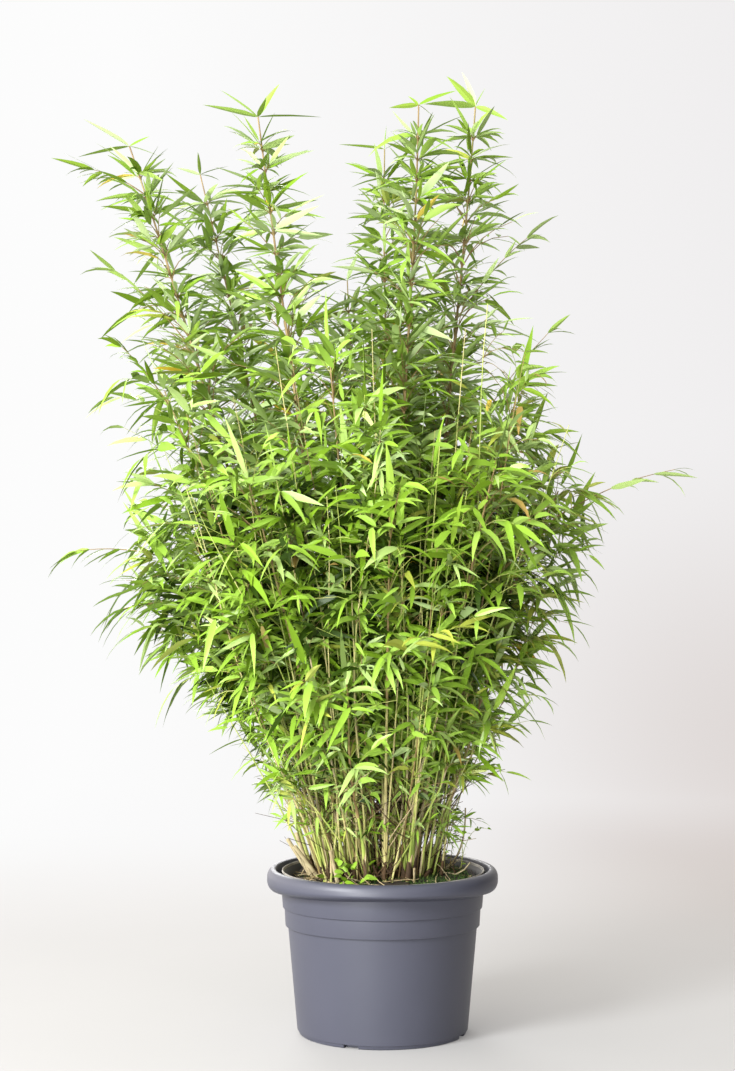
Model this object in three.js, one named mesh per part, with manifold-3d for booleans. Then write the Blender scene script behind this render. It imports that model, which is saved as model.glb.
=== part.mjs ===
// A clump-forming bamboo in a round plastic container. Millimetres, +Z up.
// The origin is at the middle of the container's underside, and -Y faces the viewer.
import * as THREE from "three";
import { mergeVertices } from "three/addons/utils/BufferGeometryUtils.js";
import Module from "manifold-3d";

const wasm = await Module();
wasm.setup();

// Driving dimensions
const CLEAR = 0.3; // gap between pieces that rest on each other
const RIM_RADIUS = 200;
const RIM_TOP = 280;
const RIM_DEPTH = 35;
const WALL = 4;
const FLOOR = 8;
const FOOT_RADIUS = 144;
const FOOT_HEIGHT = 7;
const BODY_FOOT_RADIUS = 147;
const BODY_TOP_RADIUS = 163.5;
const LOWER_STEP = 183; // heights of the two steps in the wall
const UPPER_STEP = 214;
const STEP_OUT = 4.5;
const COLLAR_RADIUS = 175;
const NOTCHES = 4;
const NOTCH_WIDTH = 26;
const NOTCH_HEIGHT = 6;
const NOTCH_DEPTH = 12;
const NOTCH_TURN = 0.38; // radians from the viewer's side to the first notch
const INNER_RADIUS = 170;
const INNER_FOOT_RADIUS = 134;
const INNER_TOP = 275;
const INNER_WALL = 2.5;
const INNER_LIP = 4.5;
const SOIL_TOP = 267;
const SOIL_EDGE_DROP = 6;
const ROUND_SIDES = 28;

const FAN_DEPTH = 250; // the canes fan out from a point this far below the soil
const CANE_SIDES = 5;
const CANE_STEPS = 5;
const CANE_TAPER = 0.7;
const FLARE = 1.3; // how much wider a cane's foot is than the cane
const FLARE_STEP = 0.02; // share of a cane's length that the flare takes
const SWAY = 14;
const LEAF_ASPECT = 0.26; // width of a leaf over its length
const LEAF_THICK = 0.016; // thickness of a leaf over its length
const LEAF_WIDEST = 0.36; // where along its length a leaf is widest
const LEAF_DROOP = 0.14;
const TWIG_RADIUS = 1.4;
const STEM_TIP_RADIUS = 2.2;
const LEAVES_PER_TWIG = 3;
const STEM_STEPS = 5;
const NODE_GAP = 61; // distance between the twigs along a stem
const TWIG_LENGTHS = [0.8, 1.2]; // shortest and longest twig, over what its mass says
const TWIG_LIFTS = [0.35, 0.8]; // how steeply a twig rises along its stem
const TWIG_TURN = 0.3; // how far a twig may stray from its turn round the stem
const LEAF_SIDEWAYS = [0.7, 1.3]; // how far a leaf points away from its twig
const LEAF_LIFTS = [-0.55, 0.1]; // how far a leaf hangs or rises
const LEAF_LIFT_STEP = 0.12; // how much higher it points on each try
const LEAF_ROLL = 0.7;
const SIDE_LEAVES = [0.75, 1]; // sizes of a twig's side leaves, over its end leaf
const TOP_LEAF = 0.85; // size of the leaves at a stem's tip, over its mass's own
const SPRIG_LEAF = 0.5;
const TRIES = 12; // how often a twig or leaf that finds no room is turned elsewhere
const SHRINK = 0.94; // how much smaller a leaf is on each try
const GOLDEN_ANGLE = 2.39996;
const CELL_MARGIN = 2.5; // what each mass keeps from the border with its neighbours
const LIMB_MARGIN = 2;
const LIMB_SAMPLE = 6; // distance between the points that stand for a cane in that test
const AXIS_STEPS = 14;
const AXIS_END = 1.08; // a mass's middle line runs this far along its cane's line, a little past the stem's tip
const SMALLEST_EDGE = 0.25; // shorter edges are merged after fusing

// Each leafy cane: its stem's tip, the share of its line where the leaves begin, its foot's radius, the length of
// its twigs and of its leaves, how much it curves outwards (lean), and how far it arches over.
const LEAFY_CANES = [
  { name: "far_left", tip: [-446, 30, 1535], from: 0.5, foot: 4.5, reach: 48, leaf: 112, lean: 1.15 },
  { name: "left_rear", tip: [-322, 170, 1470], from: 0.55, foot: 3.8, reach: 46, leaf: 112, lean: 1.1 },
  { name: "left", tip: [-216, -50, 1572], from: 0.5, foot: 4.4, reach: 50, leaf: 115, lean: 0.95 },
  { name: "middle", tip: [-60, 150, 1262], from: 0.55, foot: 3.4, reach: 60, leaf: 125 },
  { name: "inner_left", tip: [4, 70, 1455], from: 0.56, foot: 3.8, reach: 48, leaf: 115, lean: 0.9 },
  { name: "inner_right", tip: [62, -60, 1540], from: 0.5, foot: 4.4, reach: 52, leaf: 118, lean: 0.7 },
  { name: "right", tip: [166, 40, 1592], from: 0.48, foot: 4.5, reach: 56, leaf: 122, lean: 0.75 },
  { name: "rear_left", tip: [-190, 280, 1160], from: 0.5, foot: 3.8, reach: 84, leaf: 150, arch: 0.1 },
  { name: "rear_right", tip: [110, 260, 1220], from: 0.5, foot: 3.8, reach: 84, leaf: 150, arch: 0.1 },
  { name: "upper_left_side", tip: [-375, -80, 1100], from: 0.5, foot: 3.8, reach: 72, leaf: 140, arch: 0.1 },
  { name: "left_side", tip: [-400, 30, 850], from: 0.44, foot: 4, reach: 84, leaf: 160, arch: 0.3 },
  { name: "left_side_rear", tip: [-290, 250, 900], from: 0.44, foot: 3.6, reach: 90, leaf: 160, arch: 0.25 },
  { name: "front_left", tip: [-220, -240, 930], from: 0.44, foot: 4, reach: 90, leaf: 160, arch: 0.2 },
  { name: "front", tip: [10, -290, 880], from: 0.44, foot: 3.6, reach: 90, leaf: 160, arch: 0.2 },
  { name: "front_right", tip: [180, -240, 950], from: 0.44, foot: 4, reach: 90, leaf: 160, arch: 0.2 },
  { name: "upper_right_side", tip: [240, -30, 1120], from: 0.44, foot: 4, reach: 80, leaf: 145, arch: 0.1 },
  { name: "right_side", tip: [310, 0, 935], from: 0.44, foot: 4, reach: 84, leaf: 155, arch: 0.25 },
  { name: "right_side_rear", tip: [205, 240, 930], from: 0.44, foot: 3.6, reach: 90, leaf: 160, arch: 0.25 },
  { name: "rear", tip: [0, 310, 900], from: 0.44, foot: 3.6, reach: 90, leaf: 160, arch: 0.2 },
  { name: "centre", tip: [-90, -130, 1150], from: 0.44, foot: 4.2, reach: 88, leaf: 155 },
  { name: "low_left", tip: [-225, -110, 640], from: 0.3, foot: 3.2, reach: 60, leaf: 130, arch: 0.35 },
  { name: "low_right", tip: [185, -90, 620], from: 0.3, foot: 3.2, reach: 60, leaf: 130, arch: 0.35 },
  { name: "low_front", tip: [-60, -220, 600], from: 0.28, foot: 3.2, reach: 74, leaf: 140, arch: 0.25 },
  { name: "low_rear", tip: [90, 230, 620], from: 0.3, foot: 3.2, reach: 74, leaf: 140, arch: 0.35 },
];

// Single long twigs that stand out from the crown: the mass they belong to, where on its stem they start, and their
// furthest leaf's tip.
const SPRIGS = [
  { on: "right_side", at: 0.78, tip: [560, -10, 1004] },
  { on: "left_side", at: 0.86, tip: [-602, 10, 846] },
  { on: "upper_left_side", at: 0.9, tip: [-462, -110, 1200] },
  { on: "right_side", at: 0.55, tip: [384, -30, 745] },
];
const SPRIG_RISE = 0.06; // how far a sprig bows upwards, over its length

// Canes whose leaves show only further up among the others: they end inside the crown.
const BARE_CANES = [
  { name: "bare_1", tip: [-150, 10, 700], foot: 3.8 },
  { name: "bare_2", tip: [110, -60, 680], foot: 3.6 },
  { name: "bare_3", tip: [-105, -143, 600], foot: 3.4 },
  { name: "bare_4", tip: [30, 110, 660], foot: 3.6 },
  { name: "bare_5", tip: [90, -190, 560], foot: 3.4 },
  { name: "bare_6", tip: [170, 110, 600], foot: 3.4 },
];

// Old canes that were cut off just above the rim.
const CUT_CANES = [
  { name: "cut_1", tip: [-158, -30, 338], foot: 4.6 },
  { name: "cut_2", tip: [-92, -112, 318], foot: 4.4 },
];

const GREEN = new THREE.MeshStandardMaterial({ color: 0x6fa73a, roughness: 0.55 });
const CANE = new THREE.MeshStandardMaterial({ color: 0xa9ad5c, roughness: 0.5 });
const STRAW = new THREE.MeshStandardMaterial({ color: 0xc9b98a, roughness: 0.8 });
const PLASTIC = new THREE.MeshStandardMaterial({ color: 0x6a6d78, roughness: 0.55 });
const BLACK_PLASTIC = new THREE.MeshStandardMaterial({ color: 0x25262a, roughness: 0.6 });
const EARTH = new THREE.MeshStandardMaterial({ color: 0x3a2d22, roughness: 1 });

// A repeatable stream of numbers from 0 to 1.
function seeded(seed) {
  const modulus = 2147483647;
  let state = (seed * 7919) % modulus;
  return () => {
    state = (state * 48271) % modulus;
    return state / modulus;
  };
}

const between = (random, low, high) => low + (high - low) * random();

function solidOf(geometry) {
  const bare = geometry.clone();
  bare.deleteAttribute("normal");
  bare.deleteAttribute("uv");
  const merged = mergeVertices(bare, 1e-4);
  return new wasm.Manifold(
    new wasm.Mesh({
      numProp: 3,
      vertProperties: merged.attributes.position.array,
      triVerts: new Uint32Array(merged.index.array),
    }),
  );
}

function geometryOf(solid) {
  const { numProp, numVert, vertProperties, triVerts } = solid.getMesh();
  const positions = new Float32Array(numVert * 3);
  for (let i = 0; i < numVert; i++) {
    positions.set(vertProperties.subarray(i * numProp, i * numProp + 3), i * 3);
  }
  return new THREE.BufferGeometry()
    .setAttribute("position", new THREE.BufferAttribute(positions, 3))
    .setIndex(new THREE.BufferAttribute(new Uint32Array(triVerts), 1));
}

// The largest body of a solid, with its hollows filled and its loose scraps dropped.
function wholeBody(solid) {
  return solid.decompose().reduce((a, b) => (b.volume() > a.volume() ? b : a));
}

// The axes across a limb that runs along a direction.
function across(direction) {
  const level = Math.abs(direction.y) > 0.95 ? new THREE.Vector3(0, 0, 1) : new THREE.Vector3(0, 1, 0);
  const u = new THREE.Vector3().crossVectors(level, direction).normalize();
  return [u, new THREE.Vector3().crossVectors(direction, u)];
}

// A closed limb along a line: a cylinder bent onto it. radiusAt takes the share of the way from start to end.
function limb(line, start, end, radiusAt, sides, steps) {
  const geometry = new THREE.CylinderGeometry(1, 1, 1, sides, steps);
  const position = geometry.attributes.position;
  for (let i = 0; i < position.count; i++) {
    const share = position.getY(i) + 0.5;
    const t = start + (end - start) * share;
    const centre = line.at(t);
    const [u, v] = across(line.along(t));
    const radius = radiusAt(share);
    centre.addScaledVector(v, position.getX(i) * radius).addScaledVector(u, position.getZ(i) * radius);
    position.setXYZ(i, centre.x, centre.y, centre.z);
  }
  return geometry;
}

function lineOf(at) {
  const step = 1e-3;
  const along = (t) => at(t + step).sub(at(t - step)).normalize();
  return { at, along };
}

const straightLine = (from, to) => lineOf((t) => from.clone().lerp(to, t));

// A cane's centre line, from 0 at the soil to 1 at its tip. All canes fan out from one point below the soil.
function caneLine({ tip, arch = 0, lean = 1.05 }, index) {
  const [x, y, z] = tip;
  const foot = SOIL_TOP + CLEAR;
  const rise = z - foot;
  const spread = FAN_DEPTH / (FAN_DEPTH + rise);
  const random = seeded(index + 1);
  const sway = [between(random, -SWAY, SWAY), between(random, -SWAY, SWAY)];
  return lineOf((t) => {
    const out = spread + (1 - spread) * Math.sign(t) * Math.abs(t) ** lean;
    const bulge = Math.sin(Math.PI * t) ** 2;
    return new THREE.Vector3(
      x * out + sway[0] * bulge,
      y * out + sway[1] * bulge,
      foot + rise * (t * (1 + arch) - arch * t * t),
    );
  });
}

const caneRadius = (cane, t) => {
  const flare = 1 + (FLARE - 1) * Math.max(0, 1 - t / FLARE_STEP);
  return cane.foot * (1 - CANE_TAPER * t) * flare;
};

// A cane's foot is cut flat on the soil, so its lowest ring is level.
function caneGeometry(cane, line, end) {
  const geometry = limb(line, 0, end, (share) => caneRadius(cane, share * end), CANE_SIDES, CANE_STEPS);
  const position = geometry.attributes.position;
  const foot = SOIL_TOP + CLEAR;
  for (let i = 0; i < position.count; i++) {
    if (Math.abs(position.getZ(i) - foot) < 2 * cane.foot) position.setZ(i, foot);
  }
  return geometry;
}

// A leaf: a stretched octahedron with its root at the origin, along +X, flat across Z and arched down to its tip.
function leafGeometry(length) {
  const geometry = new THREE.OctahedronGeometry(1);
  const position = geometry.attributes.position;
  for (let i = 0; i < position.count; i++) {
    const x = position.getX(i);
    const along = x < -0.5 ? 0 : x > 0.5 ? 1 : LEAF_WIDEST;
    const sag = along === 1 ? LEAF_DROOP : 0;
    const y = (position.getY(i) * LEAF_ASPECT) / 2;
    const z = (position.getZ(i) * LEAF_THICK) / 2 - sag;
    position.setXYZ(i, along * length, y * length, z * length);
  }
  return geometry;
}

// The place of a leaf: its root, the way it points, and its turn about that way.
function leafMatrix(root, direction, turn) {
  const side = new THREE.Vector3(0, 0, 1).cross(direction).normalize().applyAxisAngle(direction, turn);
  const top = new THREE.Vector3().crossVectors(direction, side);
  return new THREE.Matrix4().makeBasis(direction, side, top).setPosition(root);
}

const canes = [...LEAFY_CANES, ...BARE_CANES, ...CUT_CANES];
canes.forEach((cane, index) => {
  cane.line = caneLine(cane, index);
  cane.end = cane.from ?? 1;
});

// Points along every cane as built, for the test that leaves stay clear of them.
const limbPoints = canes.flatMap((cane) => {
  const length = cane.line.at(0).distanceTo(cane.line.at(cane.end));
  const steps = Math.ceil(length / LIMB_SAMPLE);
  return Array.from({ length: steps + 1 }, (_, i) => {
    const t = (cane.end * i) / steps;
    return { cane, point: cane.line.at(t), radius: caneRadius(cane, t) };
  });
});

// The middle line of each mass of leaves, as points, for the borders between the masses.
for (const cane of LEAFY_CANES) {
  cane.axis = Array.from({ length: AXIS_STEPS + 1 }, (_, i) =>
    cane.line.at(cane.from + ((AXIS_END - cane.from) * i) / AXIS_STEPS),
  );
}

function axisDistance(axis, point) {
  let least = Infinity;
  const segment = new THREE.Line3();
  const nearest = new THREE.Vector3();
  for (let i = 0; i + 1 < axis.length; i++) {
    segment.set(axis[i], axis[i + 1]).closestPointToPoint(point, true, nearest);
    least = Math.min(least, nearest.distanceTo(point));
  }
  return least;
}

// True if every corner and mid-point of a thin piece lies in the space of its own mass.
function inOwnSpace(own, corners) {
  const points = corners.flatMap((a, i) =>
    corners.slice(i).map((b) => a.clone().lerp(b, 0.5)),
  );
  return points.every((point) => {
    const mine = axisDistance(own.axis, point) + CELL_MARGIN;
    return LEAFY_CANES.every((other) => other === own || mine < axisDistance(other.axis, point) - CELL_MARGIN);
  });
}

// True if a flat piece, given as triangles, stays clear of every cane.
function clearOfLimbs(triangles, thick) {
  const nearest = new THREE.Vector3();
  return limbPoints.every(({ point, radius }) =>
    triangles.every((triangle) => {
      triangle.closestPointToPoint(point, nearest);
      return nearest.distanceTo(point) > radius + thick + LIMB_MARGIN;
    }),
  );
}

// A leaf in its place, or null where it would leave its own space or touch a cane.
function leafAt(own, root, direction, turn, length) {
  const matrix = leafMatrix(root, direction, turn);
  const corner = (x, y, z) => new THREE.Vector3(x, y, z).multiplyScalar(length).applyMatrix4(matrix);
  const base = corner(0, 0, 0);
  const left = corner(LEAF_WIDEST, LEAF_ASPECT / 2, 0);
  const right = corner(LEAF_WIDEST, -LEAF_ASPECT / 2, 0);
  const tip = corner(1, 0, -LEAF_DROOP);
  const triangles = [new THREE.Triangle(base, left, tip), new THREE.Triangle(base, tip, right)];
  const fits = inOwnSpace(own, [base, left, right, tip]) && clearOfLimbs(triangles, (LEAF_THICK * length) / 2);
  return fits ? leafGeometry(length).applyMatrix4(matrix) : null;
}

// A twig in its place, or null as above.
function twigAt(own, root, direction, reach) {
  const end = root.clone().addScaledVector(direction, reach);
  const [side] = across(direction);
  const strip = new THREE.Triangle(root.clone().lerp(end, 0.2), end, end.clone().addScaledVector(side, 1));
  if (!inOwnSpace(own, [root, end]) || !clearOfLimbs([strip], TWIG_RADIUS)) return null;
  return straightLine(root, end);
}

// The first of several tries that finds room, or null.
function firstFit(attempt) {
  for (let i = 0; i < TRIES; i++) {
    const found = attempt(i);
    if (found) return found;
  }
  return null;
}

// How far the twigs reach at a share of a mass's height: most below the middle, least at the top.
const outline = (share) => 0.35 + 0.75 * Math.sin(Math.PI * (0.25 + 0.6 * share));

// The leaves of one twig: one at its end, and others on alternate sides.
function twigLeaves(own, twig, direction, length, random, count) {
  const leaves = [];
  const level = new THREE.Vector3(0, 0, 1).cross(direction).normalize();
  const grow = (share, sideways, size) => {
    const leaf = firstFit((attempt) => {
      const away = direction.clone().addScaledVector(level, sideways * between(random, ...LEAF_SIDEWAYS));
      away.z += between(random, ...LEAF_LIFTS) + LEAF_LIFT_STEP * attempt;
      away.normalize();
      const roll = between(random, -LEAF_ROLL, LEAF_ROLL);
      return leafAt(own, twig.at(share), away, roll, size * SHRINK ** attempt);
    });
    if (leaf) leaves.push(leaf);
  };
  grow(0.97, 0, length);
  for (let i = 0; i + 1 < count; i++) {
    const share = 1 - (0.15 + (0.7 * i) / count + 0.06 * random());
    grow(share, i % 2 ? -1 : 1, length * between(random, ...SIDE_LEAVES));
  }
  return leaves;
}

// The thin stem of a mass, which carries its cane on from just above the cut.
function stemOf(cane) {
  const { line, from } = cane;
  const start = from + CLEAR / line.at(0).distanceTo(line.at(1));
  const radiusAt = (share) => Math.max(STEM_TIP_RADIUS, 1.15 * caneRadius(cane, start + (1 - start) * share));
  return { start, geometry: limb(line, start, 1, radiusAt, 3, STEM_STEPS) };
}

// One mass of leaves: a stem, twigs all round it, and leaves on each twig.
function leafMass(cane, index) {
  const random = seeded(500 + index);
  const { line } = cane;
  const { start, geometry } = stemOf(cane);
  const pieces = [geometry];
  const nodes = Math.round(line.at(start).distanceTo(line.at(1)) / NODE_GAP);
  for (let node = 0; node < nodes; node++) {
    const share = (node + 0.6) / nodes;
    const t = start + (1 - start) * share;
    const root = line.at(t);
    const along = line.along(t);
    const [u, v] = across(along);
    const reach = cane.reach * outline(share) * between(random, ...TWIG_LENGTHS);
    const found = firstFit((attempt) => {
      const turn = GOLDEN_ANGLE * (node + attempt) + index + between(random, -TWIG_TURN, TWIG_TURN);
      const out = u.clone().multiplyScalar(Math.cos(turn)).addScaledVector(v, Math.sin(turn));
      const direction = out.addScaledVector(along, between(random, ...TWIG_LIFTS)).normalize();
      const twig = twigAt(cane, root, direction, reach * SHRINK ** attempt);
      return twig && { twig, direction };
    });
    if (!found) continue;
    const leaves = twigLeaves(cane, found.twig, found.direction, cane.leaf, random, LEAVES_PER_TWIG);
    if (leaves.length === 0) continue;
    pieces.push(limb(found.twig, 0, 1, (s) => TWIG_RADIUS * (1 - 0.35 * s), 3, 1), ...leaves);
  }
  for (const sprig of SPRIGS.filter(({ on }) => on === cane.name)) {
    const root = line.at(start + (1 - start) * sprig.at);
    const tip = new THREE.Vector3(...sprig.tip);
    const direction = tip.clone().sub(root).normalize();
    const end = tip.clone().addScaledVector(direction, -cane.leaf * SPRIG_LEAF);
    const rise = SPRIG_RISE * root.distanceTo(end);
    const twig = lineOf((t) => root.clone().lerp(end, t).add(new THREE.Vector3(0, 0, rise * Math.sin(Math.PI * t))));
    pieces.push(limb(twig, 0, 1, (s) => TWIG_RADIUS * (1.3 - 0.5 * s), 3, 6));
    pieces.push(...twigLeaves(cane, twig, twig.along(0.99), cane.leaf * SPRIG_LEAF, random, LEAVES_PER_TWIG));
  }
  const top = line.along(1);
  const tipLine = lineOf((s) => line.at(0.98 + 0.02 * s));
  pieces.push(...twigLeaves(cane, tipLine, top, cane.leaf * TOP_LEAF, random, LEAVES_PER_TWIG));
  return geometryOf(wholeBody(wasm.Manifold.union(pieces.map(solidOf)).simplify(SMALLEST_EDGE)));
}

// A solid of revolution from [radius, height] points. A lathe turns about +Y, so the result is stood up.
function turned(points) {
  const profile = points.map(([radius, height]) => new THREE.Vector2(radius, height));
  return new THREE.LatheGeometry(profile, ROUND_SIDES).rotateX(Math.PI / 2);
}

// The container: foot ring, tapered body, two steps, collar, and a rolled rim.
function containerGeometry() {
  const rimBottom = RIM_TOP - RIM_DEPTH;
  const roll = RIM_DEPTH / 2;
  const inner = COLLAR_RADIUS - WALL;
  const outside = [
    [0, 0],
    [FOOT_RADIUS, 0],
    [FOOT_RADIUS + 1, FOOT_HEIGHT],
    [BODY_FOOT_RADIUS, FOOT_HEIGHT],
    [BODY_TOP_RADIUS, LOWER_STEP - 2],
    [BODY_TOP_RADIUS + STEP_OUT, LOWER_STEP],
    [BODY_TOP_RADIUS + STEP_OUT + 2.5, UPPER_STEP - 2],
    [BODY_TOP_RADIUS + STEP_OUT + 4.5, UPPER_STEP],
    [COLLAR_RADIUS, rimBottom + 3],
    [RIM_RADIUS - 6, rimBottom],
    [RIM_RADIUS, rimBottom + 0.3 * RIM_DEPTH],
    [RIM_RADIUS, rimBottom + 0.55 * RIM_DEPTH],
    [RIM_RADIUS - 4, rimBottom + 0.85 * RIM_DEPTH],
    [RIM_RADIUS - 0.7 * roll, RIM_TOP],
    [RIM_RADIUS - roll, RIM_TOP],
    [inner + 8, RIM_TOP - 5],
    [inner + 4, RIM_TOP - 12],
  ];
  const inside = [
    [inner - 2, UPPER_STEP],
    [BODY_TOP_RADIUS - WALL, LOWER_STEP - 4],
    [BODY_FOOT_RADIUS - WALL, FLOOR],
    [0, FLOOR],
  ];
  let solid = solidOf(turned([...outside, ...inside]));
  for (let i = 0; i < NOTCHES; i++) {
    const turn = NOTCH_TURN + (i * 2 * Math.PI) / NOTCHES;
    const notch = new THREE.BoxGeometry(NOTCH_WIDTH, 2 * NOTCH_DEPTH, 2 * NOTCH_HEIGHT)
      .translate(0, -FOOT_RADIUS, 0)
      .rotateZ(-turn);
    solid = solid.subtract(solidOf(notch));
  }
  return geometryOf(solid);
}

// The thin pot that the plant grew in, which stands inside the container.
function innerPotGeometry() {
  const floor = FLOOR + CLEAR;
  return turned([
    [0, floor],
    [INNER_FOOT_RADIUS, floor],
    [INNER_RADIUS - INNER_LIP, INNER_TOP - INNER_LIP],
    [INNER_RADIUS, INNER_TOP - INNER_LIP],
    [INNER_RADIUS, INNER_TOP],
    [INNER_RADIUS - INNER_LIP - INNER_WALL, INNER_TOP],
    [INNER_FOOT_RADIUS - INNER_WALL, floor + INNER_WALL],
    [0, floor + INNER_WALL],
  ]);
}

// The root ball: it fills the inner pot up to a level top that falls off a little at the wall.
function soilGeometry() {
  const floor = FLOOR + 2 * CLEAR + INNER_WALL;
  const wallAt = (height) => {
    const rise = INNER_TOP - FLOOR - CLEAR - INNER_WALL;
    const share = (height - FLOOR - CLEAR - INNER_WALL) / rise;
    const low = INNER_FOOT_RADIUS - INNER_WALL;
    return low + (INNER_RADIUS - INNER_LIP - INNER_WALL - low) * share - 2 * CLEAR;
  };
  const edge = SOIL_TOP - SOIL_EDGE_DROP;
  return turned([
    [0, floor],
    [wallAt(floor), floor],
    [wallAt(edge), edge],
    [wallAt(edge) - 12, SOIL_TOP],
    [0, SOIL_TOP],
  ]);
}

const potted_bamboo = new THREE.Group();

function add(name, geometry, material) {
  const mesh = new THREE.Mesh(geometry, material);
  mesh.name = name;
  potted_bamboo.add(mesh);
}

add("container", containerGeometry(), PLASTIC);
add("inner_pot", innerPotGeometry(), BLACK_PLASTIC);
add("soil", soilGeometry(), EARTH);
for (const cane of canes) {
  const material = CUT_CANES.includes(cane) ? STRAW : CANE;
  add("cane_" + cane.name, caneGeometry(cane, cane.line, cane.end), material);
}
LEAFY_CANES.forEach((cane, index) => add("leaves_" + cane.name, leafMass(cane, index), GREEN));

export default potted_bamboo;
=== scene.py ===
from collections import namedtuple
from math import atan2, copysign, cos, exp, hypot, pi, radians, sin, sqrt, tau

import bpy
import numpy as np
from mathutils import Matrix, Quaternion, Vector


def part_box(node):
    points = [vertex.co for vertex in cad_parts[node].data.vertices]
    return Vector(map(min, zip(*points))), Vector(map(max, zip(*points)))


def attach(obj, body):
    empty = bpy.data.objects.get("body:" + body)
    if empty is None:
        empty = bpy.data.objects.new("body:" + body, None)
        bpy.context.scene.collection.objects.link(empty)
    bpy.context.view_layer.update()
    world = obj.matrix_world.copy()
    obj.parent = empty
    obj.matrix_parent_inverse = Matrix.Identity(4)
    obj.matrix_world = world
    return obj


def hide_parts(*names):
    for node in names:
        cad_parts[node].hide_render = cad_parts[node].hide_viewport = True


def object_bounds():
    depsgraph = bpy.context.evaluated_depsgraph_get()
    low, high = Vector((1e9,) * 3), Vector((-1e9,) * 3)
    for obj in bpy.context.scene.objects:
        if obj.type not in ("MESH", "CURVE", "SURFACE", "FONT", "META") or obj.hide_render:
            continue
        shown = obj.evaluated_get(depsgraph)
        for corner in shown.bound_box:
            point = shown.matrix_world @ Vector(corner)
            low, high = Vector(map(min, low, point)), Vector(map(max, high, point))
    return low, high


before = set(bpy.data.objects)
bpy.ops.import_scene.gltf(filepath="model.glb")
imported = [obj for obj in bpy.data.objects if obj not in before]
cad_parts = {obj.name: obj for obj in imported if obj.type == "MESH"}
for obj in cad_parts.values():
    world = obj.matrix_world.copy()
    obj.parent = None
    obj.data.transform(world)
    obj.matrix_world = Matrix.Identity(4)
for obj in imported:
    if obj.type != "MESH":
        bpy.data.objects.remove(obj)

CAD_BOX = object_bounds()

# Sizes, in metres. The frame gives the planter's rim, the inner pot and the soil.
MM = 0.001
RIM_RADIUS, _, RIM_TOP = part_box("container")[1]
(_, _, INNER_FLOOR), (INNER_RADIUS, _, INNER_TOP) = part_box("inner_pot")
(_, _, SOIL_LOW), (SOIL_RADIUS, _, SOIL_TOP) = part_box("soil")
CLEAR = 0.3 * MM
# The planter's rim, the inner pot's lip and the soil are all a little lower at the front, by this slope.
TOP_LEAN = 0.03

# The canes' rule, as in the solids.
FAN_DEPTH = 0.25
CANE_TAPER = 0.7
SWAY = 0.014
LEAN = 1.05
GOLDEN_ANGLE = 2.39996

UP = Vector((0, 0, 1))

# Leafy canes: name, zone, tip, share of the line where the leaves begin, foot radius and reach of the twigs
# with their leaves in mm, arch, and lean where it isn't the usual one.
LEAFY_CANES = [
    ("far_left", "spire", (-0.446, 0.03, 1.535), 0.5, 4.5, 160, 0.0, 1.15),
    ("left_rear", "spire", (-0.322, 0.17, 1.47), 0.55, 3.8, 158, 0.0, 1.1),
    ("left", "spire", (-0.216, -0.05, 1.572), 0.5, 4.4, 165, 0.0, 0.95),
    ("middle", "spire", (-0.06, 0.15, 1.262), 0.55, 3.4, 185, 0.0, 1.05),
    ("inner_left", "spire", (0.004, 0.07, 1.455), 0.56, 3.8, 163, 0.0, 0.9),
    ("inner_right", "spire", (0.062, -0.06, 1.54), 0.5, 4.4, 170, 0.0, 0.7),
    ("right", "spire", (0.166, 0.04, 1.592), 0.48, 4.5, 178, 0.0, 0.75),
    ("rear_left", "rear", (-0.19, 0.28, 1.16), 0.5, 3.8, 234, 0.1),
    ("rear_right", "rear", (0.11, 0.26, 1.22), 0.5, 3.8, 234, 0.1),
    ("upper_left_side", "left", (-0.375, -0.08, 1.1), 0.5, 3.8, 212, 0.1),
    ("left_side", "left", (-0.4, 0.03, 0.85), 0.44, 4.0, 244, 0.3),
    ("left_side_rear", "rear", (-0.29, 0.25, 0.9), 0.44, 3.6, 250, 0.25),
    ("front_left", "front", (-0.22, -0.24, 0.93), 0.44, 4.0, 250, 0.2),
    ("front", "front", (0.01, -0.29, 0.88), 0.44, 3.6, 250, 0.2),
    ("front_right", "front", (0.18, -0.24, 0.95), 0.44, 4.0, 250, 0.2),
    ("upper_right_side", "right", (0.24, -0.03, 1.12), 0.44, 4.0, 225, 0.1),
    ("right_side", "right", (0.31, 0.0, 0.935), 0.44, 4.0, 239, 0.25),
    ("right_side_rear", "rear", (0.205, 0.24, 0.93), 0.44, 3.6, 250, 0.25),
    ("rear", "rear", (0.0, 0.31, 0.9), 0.44, 3.6, 250, 0.2),
    ("centre", "front", (-0.09, -0.13, 1.15), 0.44, 4.2, 243, 0.0),
    ("low_left", "low", (-0.225, -0.11, 0.64), 0.3, 3.2, 190, 0.35),
    ("low_right", "low", (0.185, -0.09, 0.62), 0.3, 3.2, 190, 0.35),
    ("low_front", "low", (-0.06, -0.22, 0.6), 0.28, 3.2, 214, 0.25),
    ("low_rear", "low", (0.09, 0.23, 0.62), 0.3, 3.2, 214, 0.35),
]
# Other canes of the solids: name, tip and foot radius in mm.
BARE_CANES = [
    ("bare_1", (-0.15, 0.01, 0.7), 3.8),
    ("bare_2", (0.11, -0.06, 0.68), 3.6),
    ("bare_3", (-0.105, -0.143, 0.6), 3.4),
    ("bare_4", (0.03, 0.11, 0.66), 3.6),
    ("bare_5", (0.09, -0.19, 0.56), 3.4),
    ("bare_6", (0.17, 0.11, 0.6), 3.4),
]
CUT_CANES = [
    ("cut_1", (-0.158, -0.03, 0.338), 4.6),
    ("cut_2", (-0.092, -0.112, 0.318), 4.4),
]
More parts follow.
